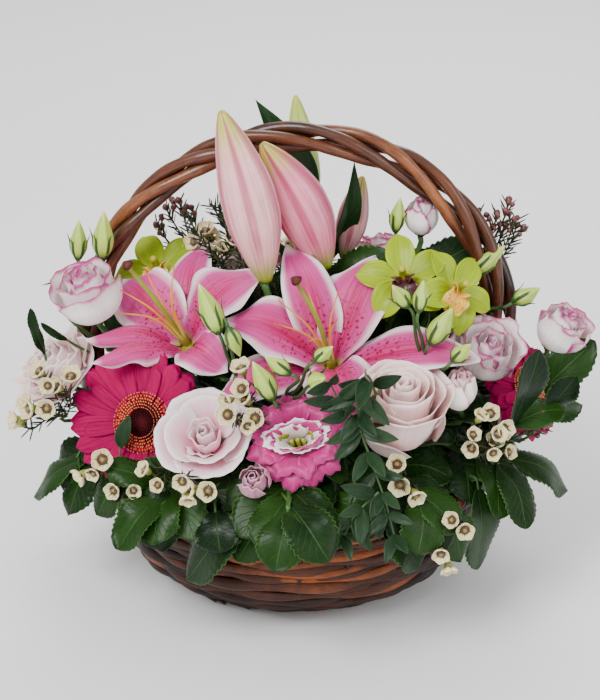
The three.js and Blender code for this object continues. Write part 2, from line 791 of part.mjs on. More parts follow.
const ROSE_RINGS = [
  { count: 3, reach: 0.7, open: 0.42, tall: 1 },
  { count: 4, reach: 0.9, open: 0.74, tall: 0.95 },
  { count: 5, reach: 1.12, open: 1.12, tall: 0.8, rows: 3 },
];
const OPEN_RINGS = [
  { count: 3, reach: 0.78, open: 0.55, tall: 1 },
  { count: 5, reach: 1.1, open: 1.15, tall: 0.66 },
];

const CLOSED_RINGS = [{ count: 4, reach: 0.9, open: 0.58, tall: 1 }];
const cup = (radius, height, rings = OPEN_RINGS) => ({ radius, height, rings });

// Small moves for a bloom that would touch its neighbours, the nearest first
const NUDGE_WAYS = [
  [0, 0, 1], [1, 0, 0], [-1, 0, 0], [0, -1, 0], [0, 0, -1], [0.7, 0, 0.7], [-0.7, 0, 0.7],
  [0.7, -0.7, 0], [-0.7, -0.7, 0], [0, -0.7, 0.7], [0, 1, 0],
];
const NUDGES = [{ move: vec(0, 0, 0), size: 1 }];
for (const size of [1, 0.9, 0.8]) {
  for (const distance of [3, 6, 9, 13]) {
    for (const [x, y, z] of NUDGE_WAYS) {
      NUDGES.push({ move: vec(x, y, z).multiplyScalar(distance), size });
    }
  }
}

// The rings of a stem, which run down from the head, as rings that run up to it
const turnedRound = (rings) => rings.slice().reverse()
  .map(([first, ...others]) => [first, ...others.reverse()]);

// Another bloom on the same stem, on a limb that leaves it at the fork
function companion(fork, { centre, facing, shape, radius = 1.8 }) {
  const frame = bloomFrame(centre, facing);
  for (const shift of [0, 12, -12, 24, -24]) {
    const neck = along(frame.centre, frame.axis, -13);
    const via = along(between(neck, fork, 0.6), UP, shift);
    const points = [along(frame.centre, frame.axis, -0.5), neck, via, fork];
    const axes = carriedAxes(directionsOf(points), frame.outAt(0));
    const rings = points.map((point, k) => ringOn(axes[k], point, radius, 3));
    const solid = loft([...turnedRound(rings), ...cupSkin(frame, shape)]);
    if (isClear(solid)) return [solid];
  }
  return [];
}

function addCup(name, { centre, facing, shape, buds = [], companions = [] }, colour, stemRadius = 2.2) {
  const kept = seed;
  for (const { move, size } of NUDGES) {
    seed = kept;
    const sized = { ...shape, radius: shape.radius * size, height: shape.height * size };
    const frame = bloomFrame(centre.clone().add(move), facing);
    const skins = cupSkin(frame, sized);
    const bloom = loft([[frame.centre], ...skins]);
    if (!isClear(bloom)) continue;
    const down = frame.axis.clone().negate();
    const foot = stem(along(frame.centre, down, 0.5), down, stemRadius, { first: frame.outAt(0) });
    if (foot.solid.length === 0) continue;
    const grown = [loft([...turnedRound(foot.rings), ...skins])];
    for (const bud of buds) grown.push(...budBranch(foot.points[1], bud, 1));
    const fork = between(foot.points[1], foot.points[2], 0.5);
    for (const other of companions) grown.push(...companion(fork, other));
    addNode(name, grown, colour);
    return;
  }
}

// Sprays: heads on thin branches from one stem

const budProfile = (length, radius) => [
  [1, radius * 0.55, 6], [length * 0.28, radius, 6], [length * 0.66, radius * 0.85, 6], [length, 0],
];
const WAX_PROFILE = [[1.5, 1.5], [7.6, 6.5, 10, 0.4], [5.4, 0]];
const BERRY_PROFILE = [[2.7, 3, 6], [6, 0]];

const moveTo = (at) => new THREE.Matrix4().makeTranslation(at.x, at.y, at.z);
const knot = (at, radius) => fromGeometry(new THREE.OctahedronGeometry(radius, 0), moveTo(at));

// A branch with its head, bent and moved until it clears what stands there already
const BENDS = [[0, 0], [14, 0], [-14, 0], [0, 14], [0, -14], [22, 22], [-22, 22], [22, -22], [-22, -22]];
function branch(fork, at, axis, thin, profile, avoid) {
  const [u, v] = crossAxes(at.clone().sub(fork).normalize());
  for (const swing of SWINGS.slice(0, 33)) {
    const end = along(along(at, u, swing.turn * 30), v, swing.lift * 30);
    for (const [p, q] of BENDS) {
      const bent = p !== 0 || q !== 0;
      const path = bent ? [fork, along(along(between(fork, end, 0.5), u, p), v, q), end] : [fork, end];
      const solid = headed(path, axis, thin, profile);
      if (isClear(solid) && avoid.every((other) => solid.minGap(other, 0.1) > 0)) return [solid];
    }
  }
  return [];
}

function budBranch(root, { base, tip, radius }, thin, avoid = []) {
  const reach = tip.clone().sub(base);
  return branch(root, base, reach.clone().normalize(), thin, budProfile(reach.length(), radius), avoid);
}

function headBranch(root, { at, facing }, thin, avoid) {
  if (!facing) return branch(root, at, at.clone().sub(root).normalize(), thin, BERRY_PROFILE, avoid);
  const axis = facing.clone().normalize();
  return branch(root, along(at, axis, -6), axis, thin, WAX_PROFILE, avoid);
}

function addSpray(name, fork, heads, colour, { radius = 1.6, thin = 0.9, leaves = [] } = {}) {
  const main = stem(fork, UP.clone().negate(), radius);
  const down = main.points[1].clone().sub(fork).normalize();
  const parts = [];
  heads.forEach((head, i) => {
    const root = along(fork, down, 0.8 + i * 2.2);
    const grown = head.tip ? budBranch(root, head, thin, parts) : headBranch(root, head, thin, parts);
    parts.push(...grown);
  });
  leaves.forEach(([tip, width], i) => {
    const root = along(fork, down, 1.6 + (heads.length + i) * 2.2);
    parts.push(...growLeaf({ root, tip, width, outline: 'lance', rows: 2, arch: 3 }, parts));
  });
  addNode(name, [...main.solid, ...parts], colour);
}

// Leafy stems: a stem that runs out over the rim with toothed leaves on both sides

const LEAF_GREEN = 0x1f4a22;
function addFoliage(name, azimuth, shape = {}) {
  const { reach = 178, rise = 132, leaves = 5, length = 68, width = 38, fan = 12 } = shape;
  const a = azimuth * DEGREE;
  const out = vec(Math.cos(a), Math.sin(a), 0);
  const across = vec(-Math.sin(a), Math.cos(a), 0);
  const head = along(vec(0, 0, rise), out, reach * 0.66);
  const twigEnd = along(vec(0, 0, rise - 2), out, reach);
  let main = { solid: [] };
  for (const swing of SWINGS.slice(0, 17)) {
    const lead = [
      along(along(twigEnd, UP, swing.lift * 10), across, swing.turn * 10),
      along(between(head, twigEnd, 0.5), UP, 4 + swing.lift * 20).addScaledVector(across, swing.turn * 20),
    ];
    main = stem(head, out.clone().negate(), 1.9, { inset: 0.55, run: 8, lead });
    if (main.solid.length > 0) break;
  }
  const blades = [];
  for (let i = 0; i < leaves; i++) {
    const share = i / (leaves - 1);
    const hand = i % 2 ? 1 : -1;
    const root = along(between(head, twigEnd, share), UP, 3.5 * Math.sin(Math.PI * share));
    const angle = (hand * (78 - 56 * share) + spread(fan)) * DEGREE;
    const heading = out.clone().multiplyScalar(Math.cos(angle)).addScaledVector(across, Math.sin(angle));
    const size = length * (1 - 0.12 * share + spread(0.1));
    const drop = -size * (0.1 + 0.55 * share + spread(0.1));
    blades.push(...growLeaf({
      root: along(root, heading, -1),
      tip: along(along(root, heading, size), UP, drop),
      up: along(UP, heading, 0.4).normalize(),
      arch: size * 0.2,
      width: width * (1 + spread(0.1)),
      curl: 0.35,
      teeth: 0.1,
      rows: 4,
    }, blades));
  }
  addNode(name, [...main.solid, ...blades], LEAF_GREEN, 0.35);
}

// A green limb that ends just under a head whose base looks along direction
function limb(fork, base, direction, radius) {
  const end = along(base, direction, -GAP - 0.3);
  const neck = along(base, direction, -13);
  const middle = between(fork, neck, 0.5);
  return grow((swing) => rod([
    fork,
    middle.clone().add(vec(swing.turn * 24, swing.lift * 24, 0)),
    neck,
    end,
  ], radius));
}

function addStalk(name, fork, radius, limbs, leaves = [], buds = []) {
  const main = stem(fork, UP.clone().negate(), radius);
  const parts = [...main.solid, knot(fork, radius * 2)];
  for (const { base, direction } of limbs) {
    parts.push(...limb(fork, base, direction.clone().normalize(), radius * 0.8));
  }
  for (const { base, tip, girth } of buds) {
    const direction = tip.clone().sub(base).normalize();
    const via = between(fork, along(base, direction, -12), 0.5);
    parts.push(rod([fork, via, along(base, direction, 3)], radius * 0.8, 4));
    parts.push(lilyBud(base, tip, girth, 6));
  }
  for (const { tip, width, arch = 8, up = UP } of leaves) {
    parts.push(...growLeaf({
      root: fork, tip, up, arch, width, outline: 'lance', rows: 4, thickness: 1.3, curl: 0.3,
    }));
  }
  addNode(name, parts, 0x5d8a35);
}

function addOrchid(name, centre, facing, tepals, size) {
  const frame = bloomFrame(centre, facing);
  const parts = [throat(frame, 6.5, 8)];
  tepals.forEach((angle, i) => {
    parts.push(...growPetal(frame, {
      angle,
      root: [3, i < 3 ? 1.5 : 5],
      mid: [size * 0.5, size * (i < 3 ? 0.24 : 0.36)],
      tip: [size, size * 0.14],
      width: size * (i < 3 ? 0.66 : 0.72),
      outline: 'lily',
      curl: 0.35,
      rows: 3,
      thickness: 1.5,
    }));
  });
  const foot = stem(along(centre, frame.axis, 1), frame.axis.clone().negate(), 2.2);
  addNode(`${name}_tepals`, [...parts, ...foot.solid], 0xa9bf3c, 0.45);
  return frame;
}

function addOrchidLip(name, frame, size, colour) {
  const seat = along(frame.centre, frame.axis, 8.5);
  const column = spindle({
    base: seat,
    tip: along(seat, frame.axis, size * 0.42),
    profile: [[0, 2.4], [0.7, 3], [1, 1.6]],
  });
  const lip = growPetal({ ...frame, at: (angle, reach, height) => frame.at(angle, reach, height + 8.5) }, {
    angle: 270,
    root: [0.5, 2],
    mid: [size * 0.3, size * 0.46],
    tip: [size * 0.62, size * 0.1],
    width: size * 0.62,
    outline: 'round',
    curl: 0.5,
    wave: 1.2,
    thickness: 1.4,
    rows: 3,
  });
  addNode(name, [column, ...lip], colour, 0.5);
}

// A sprig held at one of its points, with small pointed leaves in pairs along it
function addSprig(name, points, held, pairs, length, colour) {
  const curve = new THREE.CatmullRomCurve3(points);
  const main = stem(points[held], vec(0, 0.85, -0.5).normalize(), 1.4);
  const twig = grow((swing) => rod(points.map((point, k) => (
    point.clone().add(vec(swing.turn * 12 * (k - held), 0, swing.lift * 8 * (k - held)))
  )), 1.1, 4));
  const blades = [];
  for (let i = 0; i < pairs; i++) {
    const share = 0.02 + (0.94 * i) / (pairs - 1);
    const root = curve.getPoint(share);
    const heading = curve.getTangent(share);
    const cross = new THREE.Vector3().crossVectors(heading, vec(0, -1, 0)).normalize();
    for (const hand of [-1, 1]) {
      const reach = cross.clone().multiplyScalar(hand * (i % 2 ? 0.55 : 0.9));
      reach.addScaledVector(heading, share < 0.4 ? -0.45 : 0.45);
      reach.addScaledVector(vec(0, -1, 0), i % 2 ? 0.75 : 0.3).normalize();
      blades.push(...growLeaf({
        root: along(root, reach, 0.45),
        tip: along(root, reach, length * (1 - 0.3 * share)),
        up: vec(0, -1, 0.3).normalize(),
        arch: 2,
        width: length * 0.42,
        rows: 2,
      }, blades));
    }
  }
  addNode(name, [...main.solid, ...twig, ...blades], colour, 0.5);
}

// Everything in its place, from the basket outwards

addBasketBase();
addBasketWall();
addLiner();
addHandleAndRim();

// The front lily: a bloom, two buds and the stalk that carries them
const lilyFront = addLily(
  'lily_bloom_front', vec(27, -62, 193), vec(-0.08, -0.45, 0.89), [58, 107, 162, 205, 278, 350], 112, [4],
);
addStamens('lily_stamens_front', lilyFront, vec(-6, 2, 2));
const budTall = { base: vec(-24, -46, 264), tip: vec(-55, -50, 402) };
const budLeaning = { base: vec(20, -22, 266), tip: vec(-24, -26, 366) };
addNode('lily_bud_tall', [lilyBud(budTall.base, budTall.tip, 1.12)], 0xe9b6c6);
addNode('lily_bud_leaning', [lilyBud(budLeaning.base, budLeaning.tip, 0.92)], 0xd98fb0);

// The lily behind: a pale green bud, a pale pink one and lance leaves
const budGreen = { base: vec(12, 48, 280), tip: vec(-1, 56, 379), girth: 0.62 };
const budPale = { base: vec(37, 36, 249), tip: vec(52, 42, 317), girth: 0.66 };

const lilyLeft = addLily(
  'lily_bloom_left', vec(-82, -46, 205), vec(-0.34, -0.42, 0.84), [22, 72, 120, 178, 235, 300], 94, [], 3,
);
addStamens('lily_stamens_left', lilyLeft, vec(-3, 0, 2));

addGerbera('gerbera_left', vec(-123, -82, 172), vec(-0.42, -0.8, 0.45), 51, 16);
addGerbera('gerbera_right', vec(178, -42, 172), vec(0.66, -0.5, 0.56), 42, 13, false);

const orchidUpright = addOrchid(
  'orchid_upright', vec(82, -42, 262), vec(-0.12, -0.72, 0.68), [90, 165, 20, 230, 310], 34,
);
addOrchidLip('orchid_upright_lip', orchidUpright, 30, 0x7a2434);
const orchidSide = addOrchid(
  'orchid_side', vec(118, -46, 254), vec(0.5, -0.66, 0.56), [82, 152, 13, 226, 303], 32,
);
addOrchidLip('orchid_side_lip', orchidSide, 28, 0xd8c25a);
addOrchid('orchid_left', vec(-108, 14, 244), vec(-0.25, -0.55, 0.8), [104, 172, 30, 239, 308], 35);

const BLUSH = 0xefc3c4;
const EDGED = 0xf3e2e8;
addCup('rose_blush', {
  centre: vec(84, -108, 150), facing: vec(0.04, -0.28, 0.96), shape: cup(30, 58, ROSE_RINGS),
}, BLUSH, 2.8);
addCup('rose_open', {
  centre: vec(-64, -120, 150), facing: vec(-0.2, -0.7, 0.68), shape: cup(33, 32),
}, 0xf3d8da);
addCup('lisianthus_pink', {
  centre: vec(2, -130, 158), facing: vec(-0.1, -0.66, 0.74), shape: cup(31, 32),
}, 0xd9458c);
addCup('rose_mauve', {
  centre: vec(-31, -152, 146), facing: vec(-0.05, -0.66, 0.75), shape: cup(13, 24, CLOSED_RINGS),
}, 0xb87f9c, 1.6);
addCup('rose_far_left', {
  centre: vec(-180, -36, 174), facing: vec(-0.55, -0.35, 0.75), shape: cup(27, 30),
}, 0xeed3d0);
addCup('lisianthus_edged_left', {
  centre: vec(-146, -48, 236), facing: vec(-0.3, -0.25, 0.92), shape: cup(25, 42),
}, EDGED);
addCup('lisianthus_edged_right', {
  centre: vec(144, -54, 196), facing: vec(0.1, -0.55, 0.83), shape: cup(27, 36),
}, EDGED);
addCup('lisianthus_edged_far_right', {
  centre: vec(196, -16, 196), facing: vec(0.45, -0.25, 0.85), shape: cup(22, 34),
}, EDGED);
addCup('lisianthus_edged_top', {
  centre: vec(97, 12, 283),
  facing: vec(0.12, -0.1, 1),
  shape: cup(15, 27, CLOSED_RINGS),
  buds: [{ base: vec(77, 2, 286), tip: vec(80, 2, 313), radius: 6 }],
}, EDGED, 1.6);
addCup('lisianthus_white_bud', {
  centre: vec(122, -102, 186), facing: vec(0.04, -0.3, 0.95), shape: cup(15, 30, CLOSED_RINGS),
}, 0xf5ecec, 1.6);

addStalk('lily_stem_front', vec(4, -34, 176), 3, [
  { base: lilyFront.centre, direction: lilyFront.axis },
  { base: budTall.base, direction: budTall.tip.clone().sub(budTall.base) },
  { base: budLeaning.base, direction: budLeaning.tip.clone().sub(budLeaning.base) },
]);
addStalk('lily_stem_back', vec(22, 34, 196), 3, [], [
  { tip: vec(-31, 34, 378), width: 30, arch: 10, up: vec(0.5, 1, 0.1).normalize() },
  { tip: vec(44, 24, 335), width: 22, arch: 4, up: vec(0.3, 1, 0).normalize() },
], [budGreen, budPale]);

// Buds of lisianthus
const LIME = 0xb7cc78;
addSpray('bud_spray_left', vec(-174, -20, 232), [
  { base: vec(-169, -20, 272), tip: vec(-167, -20, 303), radius: 6.5 },
  { base: vec(-150, -24, 274), tip: vec(-147, -24, 312), radius: 8 },
], LIME, { leaves: [[vec(-198, -18, 248), 7]] });
addSpray('bud_spray_upper_left', vec(-46, -92, 206), [
  { base: vec(-58, -103, 247), tip: vec(-72, -99, 284), radius: 8.5 },
  { base: vec(-50, -106, 250), tip: vec(-42, -110, 230), radius: 6 },
], LIME);
addSpray('bud_spray_center', vec(-8, -106, 190), [
  { base: vec(-18, -138, 210), tip: vec(-32, -138, 239), radius: 8 },
  { base: vec(-6, -134, 228), tip: vec(-23, -130, 239), radius: 6 },
  { base: vec(14, -146, 244), tip: vec(26, -144, 254), radius: 5.5 },
  { base: vec(12, -148, 226), tip: vec(20, -160, 236), radius: 7.5 },
], LIME);
addSpray('bud_spray_upper_right', vec(98, -90, 208), [
  { base: vec(81, -100, 267), tip: vec(70, -100, 283), radius: 6.5 },
  { base: vec(90, -102, 264), tip: vec(93, -98, 286), radius: 6 },
  { base: vec(100, -98, 236), tip: vec(115, -94, 262), radius: 8.5 },
  { base: vec(116, -114, 229), tip: vec(128, -112, 241), radius: 6.5 },
], LIME);
addSpray('bud_spray_right', vec(148, -14, 226), [
  { base: vec(140, -10, 256), tip: vec(162, -5, 276), radius: 7 },
  { base: vec(170, -18, 234), tip: vec(190, -14, 244), radius: 7 },
], LIME);

// Waxflower
const CREAM = 0xe9dfb4;
const flower = (x, y, z, fx, fy, fz) => ({ at: vec(x, y, z), facing: vec(fx, fy, fz) });
addSpray('waxflower_left', vec(-180, -52, 152), [
  flower(-196, -75, 201, -0.4, -0.6, 0.7), flower(-215, -70, 154, -0.8, -0.5, 0.2),
  flower(-190, -90, 177, -0.5, -0.8, 0.4),
  flower(-207, -80, 176, -0.7, -0.6, 0.4), flower(-182, -84, 192, -0.2, -0.8, 0.6),
], CREAM, { leaves: [[vec(-206, -60, 186), 5], [vec(-188, -88, 150), 5]] });
addSpray('waxflower_upper_left', vec(-70, 38, 214), [
  flower(-83, 30, 265, -0.2, -0.7, 0.7), flower(-56, 26, 264, 0.2, -0.8, 0.6),
  flower(-68, 28, 250, 0, -0.9, 0.5),
  { at: vec(-104, 36, 292) }, { at: vec(-94, 38, 297) },
  { at: vec(-112, 34, 278) }, { at: vec(-84, 40, 290) },
], CREAM, { leaves: [[vec(-92, 34, 284), 5], [vec(-58, 40, 278), 5]] });
addSpray('waxflower_upper_right', vec(146, 30, 232), [
  { at: vec(158, 28, 290) }, { at: vec(174, 28, 286) }, { at: vec(148, 28, 280) },
  { at: vec(167, 30, 298) }, { at: vec(142, 27, 290) }, { at: vec(165, 32, 279) }, { at: vec(180, 30, 276) },
], 0x7a4a3c, { leaves: [[vec(156, 34, 272), 5]] });
addSpray('waxflower_right', vec(134, -104, 148), [
  flower(131, -128, 174, 0, -0.9, 0.4), flower(155, -114, 172, 0.5, -0.8, 0.4),
  flower(147, -124, 157, 0.3, -0.9, 0.1),
  flower(160, -110, 150, 0.6, -0.8, 0), { at: vec(188, -84, 158) },
  { at: vec(192, -78, 166) },
], CREAM);
addSpray('waxflower_front', vec(-36, -106, 172), [
  flower(-30, -150, 199, 0, -0.9, 0.5), flower(-50, -148, 201, -0.2, -0.9, 0.4),
  flower(-40, -138, 217, -0.1, -0.8, 0.6),
], CREAM);
addSpray('waxflower_front_left', vec(-94, -120, 142), [
  flower(-64, -174, 152, 0, -1, 0.2), flower(-83, -172, 159, -0.2, -0.9, 0.4),
  flower(-102, -158, 148, -0.3, -0.9, 0.1),
  flower(-136, -144, 136, -0.4, -0.9, 0.2), flower(-152, -132, 144, -0.6, -0.8, 0.2),
], CREAM);
addSpray('waxflower_low_right', vec(92, -134, 136), [
  flower(118, -152, 118, 0.4, -0.9, 0.1), flower(102, -164, 106, 0.2, -0.9, -0.3),
  flower(76, -152, 150, 0, -0.9, 0.4),
], CREAM);

addSprig('myrtle_sprig', [
  vec(49, -156, 234), vec(47, -158, 205), vec(54, -162, 172), vec(64, -174, 146), vec(72, -184, 120),
], 2, 7, 26, 0x5d7a5a);

// The hidden side, finished with the same kinds of blooms
addCup('rose_back', {
  centre: vec(-48, 112, 168),
  facing: vec(-0.15, 0.55, 0.82),
  shape: cup(31, 46, ROSE_RINGS),
  companions: [
    { centre: vec(-104, 74, 176), facing: vec(-0.5, 0.45, 0.75), shape: cup(27, 36) },
    { centre: vec(-36, 66, 222), facing: vec(-0.1, 0.4, 0.9), shape: cup(24, 34) },
  ],
}, BLUSH, 2.8);
addCup('lisianthus_back', {
  centre: vec(58, 106, 170),
  facing: vec(0.2, 0.55, 0.8),
  shape: cup(28, 34),
  companions: [
    { centre: vec(112, 70, 178), facing: vec(0.5, 0.4, 0.75), shape: cup(25, 34) },
    { centre: vec(70, 66, 224), facing: vec(0.15, 0.35, 0.9), shape: cup(22, 32) },
  ],
}, EDGED, 2.4);
addSpray('waxflower_back', vec(6, 96, 190), [
  flower(-4, 124, 212, 0, 0.8, 0.6), flower(16, 118, 224, 0.2, 0.8, 0.6),
  flower(4, 100, 240, 0, 0.5, 0.9),
  flower(24, 132, 200, 0.3, 0.9, 0.3), flower(-18, 104, 230, -0.3, 0.6, 0.7),
  flower(30, 100, 240, 0.3, 0.5, 0.8),
], CREAM, { leaves: [[vec(-14, 116, 236), 5], [vec(34, 116, 222), 5]] });

// Leaves round the rim
addFoliage('foliage_front', 268);
addFoliage('foliage_front_right', 300);
addFoliage('foliage_front_left', 236);
addFoliage('foliage_right_front', 330);
addFoliage('foliage_left_front', 206);
addFoliage('foliage_right', 14, { rise: 150, reach: 186 });
addFoliage('foliage_left', 160, { rise: 142 });
addFoliage('foliage_back_right', 52, { fan: 20 });
addFoliage('foliage_back_left', 118, { fan: 20 });
addFoam();

basket.name = 'flower_basket';
export default basket;
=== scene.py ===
"""Dresses a packed flower basket: woven willow, a twisted handle and a full arrangement of cut flowers.

Lengths in the tables are millimetres and angles are degrees; every mesh is made in metres.
"""

import math

import bpy
import numpy as np
from bpy.props import FloatProperty, FloatVectorProperty, IntProperty, PointerProperty
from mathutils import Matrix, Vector


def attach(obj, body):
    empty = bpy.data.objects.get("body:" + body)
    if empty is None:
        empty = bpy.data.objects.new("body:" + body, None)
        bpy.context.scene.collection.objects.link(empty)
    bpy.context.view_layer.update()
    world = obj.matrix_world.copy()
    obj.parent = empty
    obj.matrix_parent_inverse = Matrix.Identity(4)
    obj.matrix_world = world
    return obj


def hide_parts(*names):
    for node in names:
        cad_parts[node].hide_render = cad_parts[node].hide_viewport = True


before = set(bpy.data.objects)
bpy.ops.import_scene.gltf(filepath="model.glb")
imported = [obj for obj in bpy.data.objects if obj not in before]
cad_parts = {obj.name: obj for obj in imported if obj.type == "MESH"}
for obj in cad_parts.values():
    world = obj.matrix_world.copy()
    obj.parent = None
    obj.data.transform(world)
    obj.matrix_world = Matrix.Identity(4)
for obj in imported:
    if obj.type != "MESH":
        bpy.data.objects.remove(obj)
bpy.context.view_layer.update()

bl_info = {
    "name": "Flower basket arrangement",
    "version": (1, 0, 0),
    "blender": (4, 5, 0),
    "location": "3D View > Sidebar > Basket",
    "description": "Builds a round willow basket with a twisted handle, filled with fresh cut flowers",
    "category": "Object",
}

MM = 0.001
TURN = 2 * math.pi
UP = np.array([0.0, 0.0, 1.0])
FRONT = np.array([0.0, -1.0, 0.0])
# The angle between one petal or floret and the next that leaves no rows, and the same in radians
NO_ROWS = 137.5
GOLDEN = math.pi * (3 - math.sqrt(5))
# Share of its thickness that a petal or a leaf loses towards its sides and its tip
THIN_EDGE = 0.7


# Small vector helpers


def vec(*values):
    """A point or a direction."""
    return np.array(values, float)


def unit(v):
    """The same direction, one long."""
    v = np.asarray(v, float)
    return v / np.maximum(np.linalg.norm(v, axis=-1, keepdims=True), 1e-9)


def around(turn):
    """The level direction at a turn round the basket, in radians."""
    return vec(math.cos(turn), math.sin(turn), 0)


def ring_points(turn, radius, height):
    """Points round the basket."""
    return np.stack([radius * np.cos(turn), radius * np.sin(turn), height + 0 * turn], axis=1)


def ease(t):
    """A soft step from 0 to 1."""
    t = np.clip(t, 0.0, 1.0)
    return t * t * (3 - 2 * t)


def resample(line, count):
    """The same line as count even steps."""
    steps = np.linalg.norm(np.diff(line, axis=0), axis=1)
    run = np.concatenate([[0.0], np.cumsum(steps)])
    at = np.linspace(0, run[-1], count)
    return np.stack([np.interp(at, run, line[:, k]) for k in range(line.shape[1])], axis=1)


def smooth(points, count):
    """A flowing curve through the points, as count even steps."""
    p = np.asarray(points, float)
    padded = np.vstack([2 * p[0] - p[1], p, 2 * p[-1] - p[-2]])
    t = np.linspace(0, 1, 20, endpoint=False)[:, None]
    fine = []
    for k in range(len(p) - 1):
        a, b, c, d = padded[k:k + 4]
        fine.append(0.5 * (2 * b + (c - a) * t + (2 * a - 5 * b + 4 * c - d) * t**2
                           + (3 * b - a - 3 * c + d) * t**3))
    return resample(np.vstack(fine + [p[-1:]]), count)


def carried(line):
    """A side and a normal for each point of a line, carried along it without twist."""
    tangents = unit(np.gradient(line, axis=0))
    first = UP if abs(tangents[0][2]) < 0.9 else vec(1, 0, 0)
    side = unit(np.cross(tangents[0], first))
    sides = []
    for tangent in tangents:
        side = unit(side - tangent * np.dot(side, tangent))
        sides.append(side)
    sides = np.array(sides)
    return sides, np.cross(tangents, sides)


class Bloom:
    """The place of a flower: its centre, the way it faces, and directions round it."""

    def __init__(self, centre, facing):
        self.centre = vec(*centre)
        self.axis = unit(vec(*facing))
        self.east = unit(np.cross(vec(0, 1, 0.05), self.axis))
        self.north = np.cross(self.axis, self.east)

    def out(self, angle):
        """The direction away from the axis at an angle."""
        turn = np.radians(np.asarray(angle, float))[..., None]
        return np.cos(turn) * self.east + np.sin(turn) * self.north

    def at(self, angle, reach, height):
        """A point at an angle, a reach from the axis and a height along it."""
        reach = np.asarray(reach, float)[..., None]
        height = np.asarray(height, float)[..., None]
        return self.centre + self.out(angle) * reach + self.axis * height

    def along(self, height):
        """The point of the axis at a height."""
        return self.centre + self.axis * height


# Sheets, rods and the mesh they are gathered in


def read(items, key, width=1, kind=float):
    """One value, or a few, of every item of a mesh."""
    values = np.zeros(len(items) * width, kind)
    items.foreach_get(key, values)
    return values


def linked(name, data):
    """A mesh, a lamp or a camera as an object of the scene, at the origin."""
    made = bpy.data.objects.new(name, data)
    bpy.context.scene.collection.objects.link(made)
    return made


